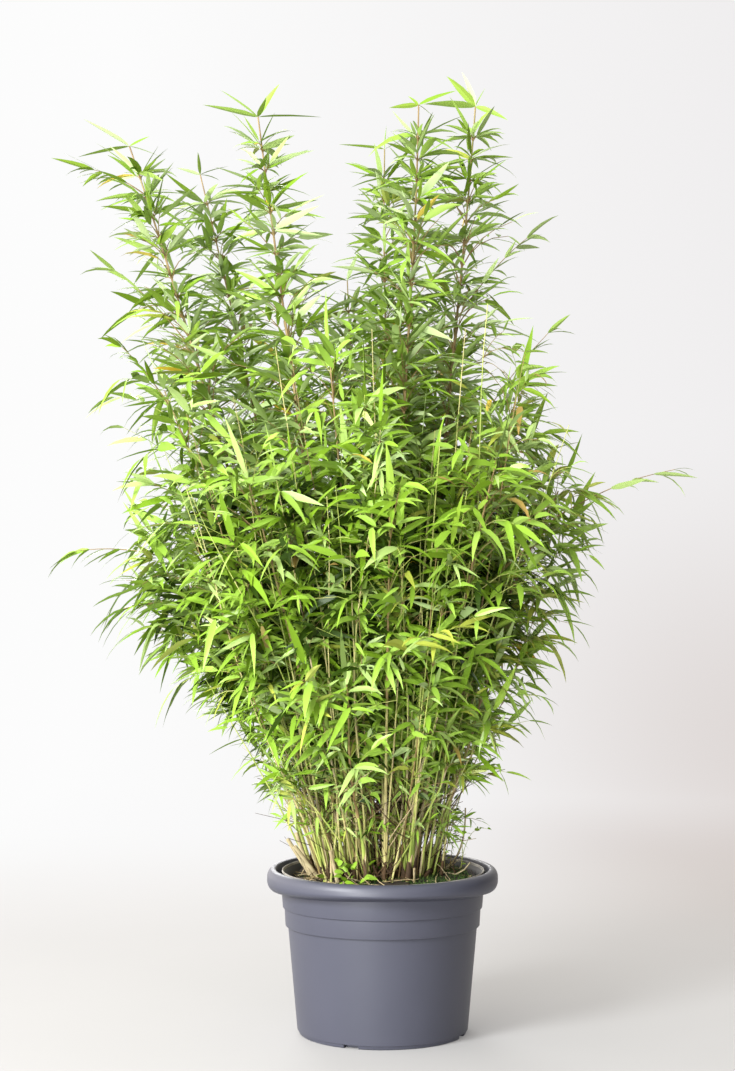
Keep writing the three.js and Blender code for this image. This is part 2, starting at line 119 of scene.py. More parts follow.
# Sprigs: cane, where on its stem they start, and the furthest tip.
SPRIGS = [
    ("right_side", 0.78, (0.569, -0.01, 0.996)),
    ("left_side", 0.86, (-0.603, 0.01, 0.834)),
    ("upper_left_side", 0.9, (-0.484, -0.11, 1.221)),
    ("right_side", 0.55, (0.35, -0.03, 0.735)),
    ("left_side", 0.55, (-0.515, 0.01, 0.725)),
    ("upper_left_side", 0.4, (-0.44, -0.1, 0.97)),
    ("upper_right_side", 0.75, (0.35, -0.04, 1.05)),
    ("far_left", 0.9, (-0.572, 0.03, 1.545)),
    ("far_left", 0.45, (-0.52, 0.02, 1.375)),
    ("right", 0.05, (0.33, 0.0, 1.268)),
    ("right", 0.5, (0.3, 0.03, 1.44)),
    ("front", 0.8, (0.03, -0.458, 0.935)),
    ("front_left", 0.8, (-0.275, -0.44, 0.96)),
    ("low_right", -0.12, (0.168, -0.06, 0.392)),
    ("low_right", -0.19, (0.16, -0.08, 0.352)),
    ("low_left", -0.1, (-0.205, -0.07, 0.4)),
]
# The tall stems go on past the solids' tips. Of each: the height where it ends, and the direction and length
# of its last leaves, with their turn about their own line. A leaf with no turn lies flat.
SPIRES = {
    "far_left": (1.562, [(-0.86, -0.1, 0.5, 0.096, 0.2), (-1.0, 0.15, -0.12, 0.098, 0.1),
                         (0.8, -0.3, 0.35, 0.046, 1.0), (0.9, 0.2, -0.15, 0.056, 0.5)]),
    "left_rear": (1.552, [(-0.06, -0.1, 1.0, 0.052, 1.4), (-0.9, 0.1, 0.35, 0.05, 0.8),
                          (0.92, -0.1, 0.35, 0.06, 0.2), (0.6, 0.6, 0.1, 0.055, 0.2)]),
    "left": (1.59, [(0.46, -0.1, 0.87, 0.076, 1.4), (-0.76, 0.1, 0.62, 0.09, 0.1),
                     (-1.0, -0.12, 0.22, 0.1, 0.3), (0.98, 0.1, 0.08, 0.116, 0.1),
                     (0.3, -0.8, 0.3, 0.06, 0.2)]),
    "middle": (1.345, [(0.3, -0.1, 0.95, 0.066, 1.3), (-0.96, 0.1, 0.28, 0.098, 0.2),
                       (0.9, 0.1, 0.3, 0.06, 0.3)]),
    "inner_left": (1.57, [(0.08, 0.0, 1.0, 0.046, 0.2), (-0.98, 0.1, 0.14, 0.086, 0.1),
                           (0.85, -0.2, 0.4, 0.05, 0.3)]),
    "inner_right": (1.608, [(-0.9, -0.2, -0.1, 0.055, 1.2), (0.9, -0.1, 0.42, 0.076, 0.9),
                            (-0.5, 0.2, 0.6, 0.028, 1.2), (0.6, 0.5, -0.25, 0.045, 0.8)]),
    "right": (1.638, [(-0.62, -0.1, 0.78, 0.086, 1.4), (-0.25, 0.1, 0.96, 0.08, 1.1),
                      (0.45, 0.1, 0.88, 0.042, 0.2), (0.85, -0.2, -0.3, 0.066, 1.3),
                      (-1.0, -0.1, 0.12, 0.1, 0.6)]),
}


class Seeded:
    """A repeatable stream of numbers between two others, the same as in the solids."""

    MODULUS = 2147483647
    FACTOR = 48271

    def __init__(self, seed):
        self.state = (seed * 7919) % self.MODULUS

    def __call__(self, low=0.0, high=1.0):
        self.state = (self.state * self.FACTOR) % self.MODULUS
        return low + (high - low) * (self.state / self.MODULUS)

    def turn(self):
        return self(0, tau)

    def normal(self, spread):
        """A number near 0, rarely further from it than twice the spread."""
        return spread * (self() + self() + self() - 1.5) * 2

    def in_disc(self, radius, inner=0.0):
        """A point of a disc, without the inner share of its area."""
        out = radius * sqrt(self(inner, 1))
        turn = self.turn()
        return out * cos(turn), out * sin(turn)

    def pick(self, weights):
        """The index of one of the weights, more often where the weight is larger."""
        mark = self() * sum(weights)
        for index, weight in enumerate(weights):
            mark -= weight
            if mark < 0:
                return index
        return len(weights) - 1


def clamp(value, low=0.0, high=1.0):
    return min(max(value, low), high)


# Materials

def feed(tree, node, inputs):
    """Sets inputs of a shader node to values, or links them to the outputs of others."""
    for name, value in inputs.items():
        if isinstance(value, bpy.types.NodeSocket):
            tree.links.new(value, node.inputs[name])
        else:
            node.inputs[name].default_value = value


def add_node(tree, kind, inputs=None):
    made = tree.nodes.new("ShaderNode" + kind)
    feed(tree, made, inputs or {})
    return made


def material(name, colour, roughness, specular=0.5):
    made = bpy.data.materials.new(name)
    made.use_nodes = True
    feed(made.node_tree, made.node_tree.nodes["Principled BSDF"], {
        "Base Color": (*colour, 1), "Roughness": roughness, "Specular IOR Level": specular,
    })
    return made


BUMP_DEPTH = 0.6 * MM


def mottled(name, colours, roughness, scale, stretch=(1, 1, 1), bump=None):
    """Patches of the given colours, with a fine bump where its strength and scale are given."""
    made = material(name, colours[0], roughness)
    tree = made.node_tree
    shader = tree.nodes["Principled BSDF"]
    spot = add_node(tree, "TexCoord").outputs["Object"]
    spot = add_node(tree, "Mapping", {"Scale": stretch, "Vector": spot}).outputs["Vector"]
    noise = add_node(tree, "TexNoise", {"Scale": scale, "Detail": 5, "Vector": spot})
    ramp = add_node(tree, "ValToRGB", {"Fac": noise.outputs["Fac"]})
    elements = ramp.color_ramp.elements
    while len(elements) < len(colours):
        elements.new(0.5)
    for index, colour in enumerate(colours):
        elements[index].position = 0.3 + 0.4 * index / (len(colours) - 1)
        elements[index].color = (*colour, 1)
    feed(tree, shader, {"Base Color": ramp.outputs["Color"]})
    if bump:
        grain = add_node(tree, "TexNoise", {"Scale": bump[1], "Detail": 4, "Vector": spot})
        raised = add_node(tree, "Bump", {
            "Strength": bump[0], "Distance": BUMP_DEPTH, "Height": grain.outputs["Fac"],
        })
        feed(tree, shader, {"Normal": raised.outputs["Normal"]})
    return made


# Upper and lower faces of the leaves: the lower faces are paler.
LEAF_TINTS = {
    "fresh": ((0.23, 0.378, 0.046), (0.236, 0.352, 0.062)),
    "light": ((0.305, 0.435, 0.12), (0.3, 0.405, 0.13)),
    "middle": ((0.205, 0.352, 0.032), (0.222, 0.334, 0.043)),
    "deep": ((0.155, 0.275, 0.016), (0.165, 0.262, 0.022)),
    "bluish": ((0.35, 0.475, 0.185), (0.385, 0.48, 0.22)),
    "yellow_green": ((0.33, 0.385, 0.052), (0.325, 0.368, 0.074)),
    # Near-black leaves put deep in the crown and among the canes' feet: painted shade.
    "shade": ((0.02, 0.042, 0.003), (0.024, 0.044, 0.004)),
    "yellow": ((0.7, 0.49, 0.035), (0.66, 0.5, 0.085)),
    "dry": ((0.38, 0.265, 0.07), (0.41, 0.31, 0.11)),
}
# Of each side of the leaves: how its materials' names begin, and their roughness.
LEAF_SIDES = (("leaf_", 0.36), ("leaf_under_", 0.55))
MATT_TINTS = ("middle", "deep", "shade")
MATT, GLOSSY = 0.14, 0.35
TINT_NAMES = list(LEAF_TINTS)
DEEP, SHADE, YELLOW, DRY = (TINT_NAMES.index(name) for name in ("deep", "shade", "yellow", "dry"))
# How often a spray takes each tint in the order above. Yellow and dry leaves come one by one. The rows are
# for the zones, for the thin canes' sprays in the open and high up, and for sprays deep inside, whose dark
# tints are painted shade. The rows' shares of pale and dark tints are partly painted light: the low, high,
# rear and right sprays take more pale tints to brighten those parts, and the front ones more dark tints.
TINT_WEIGHTS = {
    "spire": (32, 20, 18, 14, 26, 3, 0),
    "rear": (36, 27, 22, 8, 9, 4, 1),
    "left": (42, 20, 26, 6, 4, 5, 1),
    "right": (30, 20, 20, 7, 6, 28, 1),
    "front": (38, 10, 34, 13, 2, 3, 3),
    "low": (44, 38, 12, 2, 1, 6, 0),
    "open": (34, 16, 28, 15, 4, 5, 0),
    "high": (34, 34, 16, 4, 12, 6, 0),
    "inner": (6, 2, 10, 27, 0, 1, 54),
}
TOP_TINTS = (4, 0, 5, 6, 3)


def leaf_materials():
    """One material for the upper faces of each tint, then one for the lower faces of each."""
    made = []
    for face, (side, roughness) in enumerate(LEAF_SIDES):
        for name, colours in LEAF_TINTS.items():
            gloss = MATT if name in MATT_TINTS else GLOSSY
            made.append(material(side + name, colours[face], roughness, gloss))
    return made


# Meshes from arrays

class Gather:
    """Collects many small shapes, with a material number for each, and joins them into one mesh."""

    def __init__(self):
        self.points = []
        self.faces = []
        self.slots = []
        self.count = 0

    def add(self, points, faces, slot=0):
        points = np.asarray(points, dtype=np.float64).reshape(-1, 3)
        self.points.append(points)
        for face in faces:
            self.faces.append([corner + self.count for corner in face])
            self.slots.append(slot)
        self.count += len(points)

    def build(self, name, materials, smooth=True, sharp=35):
        mesh = bpy.data.meshes.new(name)
        mesh.from_pydata(np.concatenate(self.points).tolist(), [], self.faces)
        for one in materials:
            mesh.materials.append(one)
        mesh.polygons.foreach_set("material_index", self.slots)
        mesh.polygons.foreach_set("use_smooth", [smooth] * len(self.faces))
        if smooth and sharp:
            mesh.set_sharp_from_angle(angle=radians(sharp))
        mesh.update()
        return place(name, mesh)


def place(name, data):
    made = bpy.data.objects.new(name, data)
    bpy.context.scene.collection.objects.link(made)
    return made


def keep(made, slot, *nodes):
    """A finished piece rides on the plant's one body, and stands for the nodes that it replaces."""
    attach(made, "root")
    if nodes:
        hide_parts(*nodes)


def circle(radius, height, sides):
    turns = [tau * side / sides for side in range(sides)]
    return [(radius * cos(turn), radius * sin(turn), height) for turn in turns]


def ring_faces(rings, sides, closed=True):
    """Faces round a stack of rings, which flat ends may close."""
    faces = []
    for ring in range(0, (rings - 1) * sides, sides):
        for side in range(sides):
            after = (side + 1) % sides
            faces.append((ring + side, ring + after, ring + sides + after, ring + sides + side))
    if closed:
        faces.append(tuple(reversed(range(sides))))
        faces.append(tuple(range((rings - 1) * sides, rings * sides)))
    return faces


def pointed_faces(rings, sides):
    """Faces round a stack of rings between a first and a last point, one side after the other."""
    faces = []
    last = 1 + (rings - 1) * sides
    for side in range(sides):
        after = (side + 1) % sides
        faces.append((0, 1 + side, 1 + after))
        for ring in range(1, last, sides):
            faces.append((ring + side, ring + sides + side, ring + sides + after, ring + after))
        faces.append((last + side, last + sides, last + after))
    return faces


def across(direction):
    """Two directions at right angles to the given one and to each other."""
    level = UP if abs(direction.y) > 0.95 else Vector((0, 1, 0))
    u = level.cross(direction).normalized()
    return u, direction.cross(u)


def spoke(axes, turn):
    return axes[0] * cos(turn) + axes[1] * sin(turn)


def heading(turn, rise=0):
    return Vector((cos(turn), sin(turn), rise))


def add_rod(gather, path, radii, sides, slot=0):
    """A closed rod round a path."""
    points = []
    for index, centre in enumerate(path):
        before = path[max(index - 1, 0)]
        after = path[min(index + 1, len(path) - 1)]
        points += ring_round(centre, across((after - before).normalized()), radii[index], sides)
    gather.add(points, ring_faces(len(path), sides), slot)


def ring_round(centre, axes, radius, sides):
    return [centre + spoke(axes, tau * side / sides) * radius for side in range(sides)]


def thinning(radius, count):
    """Radii of a rod that grows thinner to its end."""
    return [radius * (1 - 0.2 * step) for step in range(count)]


# Leaves: every leaf is a thin closed blade, folded a little along its midrib and arched down to a fine tip.
LEAF_STATIONS = (0.0, 0.07, 0.24, 0.5, 0.78, 1.0)
LEAF_WIDTHS = (0.0, 0.56, 1.0, 0.9, 0.46, 0.0)
LEAF_THICKNESS = 0.35 * MM
LEAF_CREASE = 22
# The first half of these faces, two of a blade's four sides, is its upper face.
LEAF_FACES = pointed_faces(len(LEAF_STATIONS) - 2, 4)


class Leaves:
    """Leaves of one piece, kept as rows of numbers and made into a mesh at the end."""

    def __init__(self):
        self.rows = []
        self.tints = []

    def add(self, root, direction, roll, length, width, droop, curl, fold, tint, face=UP):
        side = face.cross(direction)
        side = side.normalized() if side.length > 1e-4 else Vector((1, 0, 0))
        side.rotate(Quaternion(direction, roll))
        self.rows.append((*root, *direction, *side, length, width, droop, curl, fold))
        self.tints.append(tint)

    def corners(self):
        """The points of each blade: its root, rings of four and its tip."""
        rows = np.array(self.rows)
        root, ahead, side = rows[:, 0:3], rows[:, 3:6], rows[:, 6:9]
        length, width, droop, curl, fold = (rows[:, i:i + 1] for i in range(9, 14))
        down = np.array([[0.0, 0.0, -1.0]])
        made = []
        for along, wide in zip(LEAF_STATIONS, LEAF_WIDTHS):
            bend = droop * along ** 2
            reach = ahead * (along - 0.35 * bend * along)
            centre = root + length * (reach + down * bend + side * curl * along ** 2)
            if wide == 0:
                made.append(centre)
                continue
            normal = np.cross(ahead + 2 * droop * along * down, side)
            normal /= np.linalg.norm(normal, axis=1, keepdims=True)
            half = width * wide / 2
            raised = normal * fold * half
            thick = normal * LEAF_THICKNESS / 2
            edge = side * half
            made += [centre + edge + raised, centre + thick, centre - edge + raised, centre - thick]
        return np.stack(made, axis=1)

    def build(self, name, materials):
        corners = self.corners()
        gather = Gather()
        gather.points = [corners.reshape(-1, 3)]
        starts = range(0, corners.shape[0] * corners.shape[1], corners.shape[1])
        gather.faces = [[corner + start for corner in face] for start in starts for face in LEAF_FACES]
        upper = len(LEAF_FACES) // 2
        under = [0] * upper + [len(TINT_NAMES)] * upper
        gather.slots = [tint + lower for tint in self.tints for lower in under]
        return gather.build(name, materials, sharp=LEAF_CREASE)


# Canes

class Line:
    """A cane's middle line, from 0 at the soil to 1 at its tip."""

    def __init__(self, tip, index, arch=0.0, lean=LEAN):
        self.tip, self.lean, self.arch = Vector(tip), lean, arch
        self.foot = SOIL_TOP + CLEAR
        self.rise = self.tip.z - self.foot
        self.spread = FAN_DEPTH / (FAN_DEPTH + self.rise)
        dice = Seeded(index + 1)
        self.sway = (dice(-SWAY, SWAY), dice(-SWAY, SWAY))

    def at(self, t):
        out = self.spread + (1 - self.spread) * copysign(abs(t) ** self.lean, t)
        bulge = sin(pi * t) ** 2
        return Vector((
            self.tip.x * out + self.sway[0] * bulge,
            self.tip.y * out + self.sway[1] * bulge,
            self.foot + self.rise * (t * (1 + self.arch) - self.arch * t * t),
        ))

    def along(self, t):
        step = 1e-3
        return (self.at(t + step) - self.at(t - step)).normalized()

    def share_at(self, height):
        """The share of a line without an arch at which it reaches a height."""
        return (height - self.foot) / self.rise

    def length(self, start=0.0, end=1.0):
        return (self.at(end) - self.at(start)).length


class Shoot(Line):
    """A thin cane of its own foot, one of the many between the main ones."""

    def __init__(self, foot, tip, sway):
        self.start, self.tip, self.sway = Vector((*foot, SOIL_TOP)), Vector(tip), sway

    def at(self, t):
        spot = self.start.lerp(self.tip, copysign(abs(t) ** LEAN, t))
        bulge = sin(pi * t) ** 2
        return Vector((spot.x + self.sway[0] * bulge, spot.y + self.sway[1] * bulge,
                       self.start.z + (self.tip.z - self.start.z) * t))


STRAW, CANE_GREEN, STEM_TAN, TWIG_BROWN = range(4)
INTERNODE = 0.085
# A joint's rings: their heights about it in mm, and how far they swell.
JOINT_RINGS = ((-3.0, 1.0), (-0.8, 1.22), (0.8, 1.14), (3.0, 0.97))
# The solids' canes are a little thicker than the real ones.
SLIM = 0.85
SUNK = 12 * MM
STEM_STEPS = 12
THINNEST_STEM = 0.9 * MM


def cane_radius(foot, t):
    return foot * SLIM * MM * (1 - CANE_TAPER * t)


def add_cane(gather, line, foot, end, slot, sides=8):
    """A cane with swollen joints. Its foot goes a little way into the soil's litter."""
    gaps = max(2, round(line.length(0, end) / INTERNODE))
    marks = {0.0: 1.2}
    for joint in range(gaps + 1):
        t = end * (joint / gaps) ** 0.9
        for step, swell in JOINT_RINGS:
            share = t + step * MM / max(line.length(), 0.05)
            if 0 <= share <= end:
                marks[share] = swell
    marks[end] = 0.9
    marks = sorted(marks.items())
    path = [line.at(t) for t, _ in marks]
    path[0] = path[0] - UP * SUNK
    add_rod(gather, path, [cane_radius(foot, t) * swell for t, swell in marks], sides, slot)


def add_stem(gather, line, foot, start, top):
    """The upper part of a leafy cane, among its twigs."""
    shares = [step / STEM_STEPS for step in range(STEM_STEPS + 1)]
    path = [line.at(start + (top - start) * share) for share in shares]
    radii = [foot * MM * (1 - CANE_TAPER * (start + (1 - start) * share)) for share in shares]
    add_rod(gather, path, [max(THINNEST_STEM, radius) for radius in radii], 6, STEM_TAN)


def add_sheath(gather, line, t, radius, length, slot, dice):
    """A papery husk: a split cone that clasps the cane at a joint and stands off at its tip."""
    start, ahead = line.at(t), line.along(t)
    turn = dice.turn()
    sides, wrap = 7, 1.5 * pi
    points = []
    for rise, out in ((0, 1.08), (0.5, 1.14), (1.0, 1.35)):
        for side in range(sides):
            angle = turn + wrap * (1 - 0.75 * rise ** 2) * (side / (sides - 1) - 0.5)
            spot = start + ahead * (rise * length)
            points.append(spot + spoke(across(ahead), angle) * radius * out)
    corners = [level + side for level in (0, sides) for side in range(sides - 1)]
    gather.add(points, [(a, a + 1, a + sides + 1, a + sides) for a in corners], slot)


def dress_cane(husks, line, foot, end, share, dice):
    """Papery sheaths at a cane's lower joints, and a brown husk or two at its foot."""
    joints = max(2, round(line.length(0, end) / INTERNODE))
    for joint in range(joints):
        t = end * (joint + 0.15) / joints
        low = line.at(t).z < SOIL_TOP + 0.28
        if dice() < (share if low else share * 0.4):
            tall = dice(30, 62) * MM
            add_sheath(husks, line, t, cane_radius(foot, t), tall, 2 if dice() < 0.7 else 0, dice)
    # Husks at the foot take the dark straw, partly painted shade.
    for _ in range(2):
        if dice() < 0.6:
            add_sheath(husks, line, 0.005, foot * MM * 1.35, dice(14, 42) * MM, 1, dice)


# Thin canes that show one by one from the front: foot, tip, foot radius in mm.
SEEN_CANES = [
    ((-0.044, -0.075), (-0.054, -0.25, 0.825), 2.6),
    ((0.002, -0.085), (0.036, -0.26, 0.873), 2.2),
    ((0.035, -0.07), (0.092, -0.27, 1.009), 3.2),
    ((0.022, -0.06), (0.074, -0.24, 0.899), 2.0),
    ((-0.088, -0.055), (-0.205, -0.22, 0.868), 3.2),
    ((-0.12, -0.01), (-0.303, -0.06, 0.605), 2.2),
    ((-0.07, -0.075), (-0.105, -0.23, 0.761), 2.4),
    ((0.1, -0.03), (0.148, -0.1, 0.673), 2.2),
    ((-0.102, -0.04), (-0.167, -0.18, 0.672), 2.6),
    ((0.062, -0.065), (0.141, -0.22, 0.802), 2.4),
]
SEEN_LINES = [Shoot(foot, tip, (0.004, 0.0)) for foot, tip, _ in SEEN_CANES]
# Where bunches of thin canes stand.
BUNCHES = [
    (-0.092, -0.048), (-0.06, -0.072), (-0.026, -0.088), (0.006, -0.072), (0.04, -0.06), (0.072, -0.028),
    (-0.112, 0.002), (-0.052, -0.022), (-0.002, -0.028), (0.044, -0.002), (-0.082, 0.045), (-0.022, 0.03),
    (0.058, 0.048), (-0.045, 0.092), (0.024, 0.098), (0.096, 0.03),
]
BUNCH_CANES = 7
BUNCH_LEFT, BUNCH_RIGHT = -0.05, 0.035
FAN_RATE = (1.7, 3.4)
FRONT_STEMS = 34
# A thin cane's leaves begin at this share of its line, and its twigs with their leaves reach this far.
THIN_LEAVES_START = 0.56
THIN_REACH = 90 * MM


def thin_canes():
    """The thin canes: line, foot radius, and the piece that a cane's leaves go to, if it has any."""
    dice = Seeded(1009)
    made = [(line, row[2], None) for line, row in zip(SEEN_LINES, SEEN_CANES)]
    for x, y in BUNCHES:
        part = "inner_left" if x < BUNCH_LEFT else "inner_right" if x > BUNCH_RIGHT else "inner_middle"
        for _ in range(BUNCH_CANES):
            foot = (x + dice.normal(0.012), y + dice.normal(0.012))
            tall = dice(0.45, 1.1)
            spread = 1 + dice(*FAN_RATE) * (tall - SOIL_TOP)
            wide = spread * 0.85 if x > 0 else spread
            tip = (foot[0] * wide + dice.normal(0.08), foot[1] * spread + dice.normal(0.05), tall)
            sway = (dice.normal(0.016), dice.normal(0.016))
            made.append((Shoot(foot, tip, sway), dice(1.0, 2.7), part))
    return made


def front_stems():
    """Thin stems that fan out among the front leaves: line and foot radius."""
    dice = Seeded(1201)
    made = []
    for number in range(FRONT_STEMS):
        side = (number + dice(0.2, 0.8)) / FRONT_STEMS - 0.55
        foot = (side * 0.2, dice(-0.085, -0.03))
        tall = dice(0.72, 1.22)
        tip = (side * dice(0.45, 0.85) - 0.02, dice(-0.3, -0.14), tall)
        sway = (dice.normal(0.02), dice.normal(0.012))
        made.append((Shoot(foot, tip, sway), dice(1.6, 2.4)))
    return made


# Foliage

TWIG_RADIUS = 0.7 * MM
# The tall stems' twigs grow shorter towards the top, and the last stretch below the top leaves has none.
SPIRE_TAPER = 0.45
BARE_TOP = 0.042
# The crown's rough middle, and its radius by height.
CROWN_MIDDLE = -0.06
CROWN_FOOT = 0.13
CROWN_FLARE = 0.55
CROWN_RADIUS = 0.4
# Painted shade: sprays take dark tints inside this share of the radius, the more the deeper they are, and in
# wandering patches. Near the crown's top none do, and near its foot a few.
SHADE_END = 0.8
SHADE_FADE = 0.3
SHADE_MOST = 0.9
SHADE_PATCH = 0.2
SHADE_WAVES = (24, 21)
SHADE_TOP = 1.02
SHADE_TOP_FADE = 0.15
SHADE_FOOT = 0.52
SHADE_FOOT_FADE = 0.3
SHADE_FOOT_LEAST = 0.35
# Sprays of the thin canes take lighter tints above this height, painted light that brightens the upper crown,
# and yellower ones to the right of this line.
HIGH_START = 0.92
RIGHT_START = 0.12
# A leaf's tip may stand this far out of the solids' box.
BOX_EASE = 0.02
# Of each zone: how far twigs go as a share of the mass's reach, how far their ends point upwards, hang of the
# leaves, length of a leaf, its width over its length, its droop, how far its upper face looks away from the
# plant's middle, twigs at a joint, how far their ends point outwards, leaves on a twig, their roll, how far a
# spray is twisted, the share of leaves that are yellow or dry, and the gap between a stem's joints.
Zone = namedtuple("Zone", "near up hang length aspect droop tilt around out count roll twist turned gap",
                  defaults=(5, (0.8, 1.2), (4, 6), 0.4, 1.1, 0.01, 0.044))
ZONES = {
    "spire": Zone((0.12, 1.08), (0.0, 0.8), (-0.45, 0.38), (0.046, 0.106), (0.095, 0.15), (0.02, 0.38),
                  (-0.6, 0.6), 8, (0.7, 1.2), (3, 5), 0.5, 0.7, gap=0.04),
    "rear": Zone((0.3, 1.05), (-0.2, 0.9), (-0.4, 0.45), (0.048, 0.09), (0.12, 0.18), (0.08, 0.5),
                 (0.1, 1.8), 8),
    "left": Zone((0.3, 1.15), (-0.3, 0.8), (-0.55, 0.5), (0.048, 0.096), (0.13, 0.19), (0.08, 0.55),
                 (0.1, 1.8), 7, (0.8, 1.3)),
    "right": Zone((0.3, 0.98), (-0.3, 0.8), (-0.5, 0.5), (0.044, 0.088), (0.125, 0.18), (0.08, 0.5),
                  (0.1, 1.8), 8, (0.8, 1.3), turned=0.022),
    "front": Zone((0.3, 1.36), (-0.3, 0.8), (-0.55, 0.5), (0.046, 0.092), (0.125, 0.18), (0.1, 0.6),
                  (0.1, 2.2)),
    "low": Zone((0.3, 0.9), (-0.3, 0.6), (-0.6, 0.4), (0.042, 0.086), (0.125, 0.18), (0.1, 0.6),
                (0.1, 2.2), out=(0.7, 1.2), turned=0.006),
    "shoot": Zone((0.3, 0.9), (-0.3, 0.6), (-0.6, 0.35), (0.024, 0.06), (0.13, 0.185), (0.05, 0.5),
                  (0.1, 2.0), out=(0.7, 1.2), count=(3, 4), roll=0.5, turned=0.004),
    "inner": Zone((0.3, 1.05), (-0.2, 0.9), (-0.4, 0.5), (0.044, 0.084), (0.12, 0.175), (0.0, 0.45),
                  (0.0, 1.6), out=(0.6, 1.2), count=(3, 6), roll=0.5, turned=0.004),
}
# This near to the canes that show from the front, only this share of the leaves before them is kept.
SEEN_GAP = 0.014
SEEN_LEAVES = 0.34
# Leaves grow smaller and fewer from this height down to the soil, apart from tiny ones.
LOW_START = 0.33
LOW_RISE = 0.5
LOW_SIZE = 0.58
LOW_GAPS = 0.65
TINY_LEAF = 0.03
# A sprig's leaves stand in twos at these shares of it, and in threes at the last.
SPRIG_END = 0.99
SPRIG_SHARES = (0.36, 0.52, 0.68, 0.84, SPRIG_END)


def outline(share):
    """How far the twigs reach at a share of a mass's height, as in the solids."""
    return 0.35 + 0.75 * sin(pi * (0.25 + 0.6 * share))


def inside_box(point):
    low, high = CAD_BOX
    return all(low[i] - BOX_EASE < point[i] < high[i] + BOX_EASE for i in range(3))


def painted_shade_share(point):
    """How often a spray here takes the dark tints of painted shade: the deeper it grows inside the crown, the
    more often.
    """
    crown = min(CROWN_FOOT + CROWN_FLARE * (point.z - SOIL_TOP), CROWN_RADIUS)
    share = hypot(point.x - CROWN_MIDDLE, point.y) / crown
    share -= SHADE_PATCH * sin(SHADE_WAVES[0] * point.x + 1.0) * cos(SHADE_WAVES[1] * point.z + 0.5)
    top = clamp((SHADE_TOP - point.z) / SHADE_TOP_FADE)
    foot = clamp(SHADE_FOOT_LEAST + (point.z - SHADE_FOOT) / SHADE_FOOT_FADE, SHADE_FOOT_LEAST)
    return top * foot * clamp((SHADE_END - share) / SHADE_FADE, 0, SHADE_MOST)


class Bow:
    """A twig's curve: it leaves its root towards a middle point and arrives at its end."""

    def __init__(self, root, middle, end):
        self.root, self.middle, self.end = root, middle, end

    def at(self, s):
        return self.root * (1 - s) ** 2 + self.middle * 2 * s * (1 - s) + self.end * s * s

    def along(self, s):
        return ((self.middle - self.root) * (1 - s) + (self.end - self.middle) * s).normalized()

    def path(self, steps):
        return [self.at(step / steps) for step in range(steps + 1)]

    def add_to(self, twigs, steps, sides, thick, slot):
        radii = [TWIG_RADIUS * thick * (1.3 - 0.7 * step / steps) for step in range(steps + 1)]
        add_rod(twigs, self.path(steps), radii, sides, slot)


def shows_cane(point):
    """Whether a leaf here would hide one of the canes that show from the front."""
    for line in SEEN_LINES:
        t = (point.z - line.start.z) / (line.tip.z - line.start.z)
        if 0 < t < 1:
            spot = line.at(t)
            if point.y < spot.y and abs(point.x - spot.x) < SEEN_GAP:
                return True
    return False


def add_leaf(leaves, root, direction, length, width, tint, dice, zone):
    """A leaf, smaller near the soil. Low leaves are few, and so are those before the canes that show."""
    small = clamp(LOW_SIZE + (root.z - LOW_START) / LOW_RISE, LOW_SIZE) if length > TINY_LEAF else 1
    length, width = length * small, width * small
    if small < 1 and dice() < LOW_GAPS * (1 - small):
        return
    droop = dice(*zone.droop)
    tip = root + direction * length - UP * droop * length
    if not inside_box(tip):
        return
    if shows_cane((root + tip) / 2) and dice() > SEEN_LEAVES:
        return
    outwards = Vector((root.x, root.y, 0))
    face = UP + outwards.normalized() * dice(*zone.tilt) if outwards.length > 1e-3 else UP
    leaves.add(root, direction, dice.normal(zone.roll), length, width, droop, dice(-0.12, 0.12),
               dice(0.0, 0.32), tint, face)


def add_twig(twigs, leaves, bow, zone, count, dice, weights):
    """One twig with leaves on alternate sides of its outer part, and its last leaf straight on."""
    spire = zone is ZONES["spire"]
    bow.add_to(twigs, 4, 3, 1.5 if spire else 1, TWIG_BROWN if spire or dice() < 0.5 else CANE_GREEN)
    tint = dice.pick(weights)
    twist = dice(-0.6, 0.6) * zone.twist
    for index in range(count):
        s = 1 - 0.62 * index / max(count, 1)
        ahead = bow.along(s)
        level = UP.cross(ahead)
        level = level.normalized() if level.length > 1e-3 else Vector((1, 0, 0))
        level.rotate(Quaternion(ahead, twist + dice(-0.4, 0.4) * zone.twist))
        angle = dice(0.0, 0.25) if index == 0 else dice(0.5, 1.25)
        hand = 1 if index % 2 else -1
        away = ahead * cos(angle) + level * hand * sin(angle) - UP * dice(*zone.hang)
        own = tint if dice() < 0.75 else dice.pick(weights)
        if dice() < zone.turned:
            own = YELLOW if dice() < 0.6 else DRY
        length = dice(*zone.length) * (0.85 if index == 0 else 1)
        width = length * dice(*zone.aspect)
        add_leaf(leaves, bow.at(s), away.normalized(), length, width, own, dice, zone)


def open_name(name, point):
    """The weights of a spray that takes no painted shade. Those of the thin canes change over the crown."""
    if name != "inner":
        return name
    if point.z > HIGH_START:
        return "high"
    return "right" if point.x > RIGHT_START else "open"


def stem_top(line, cane):
    """The share of its line at which a cane ends. The tall ones go on past 1."""
    return line.share_at(SPIRES[cane][0]) if cane in SPIRES else 1


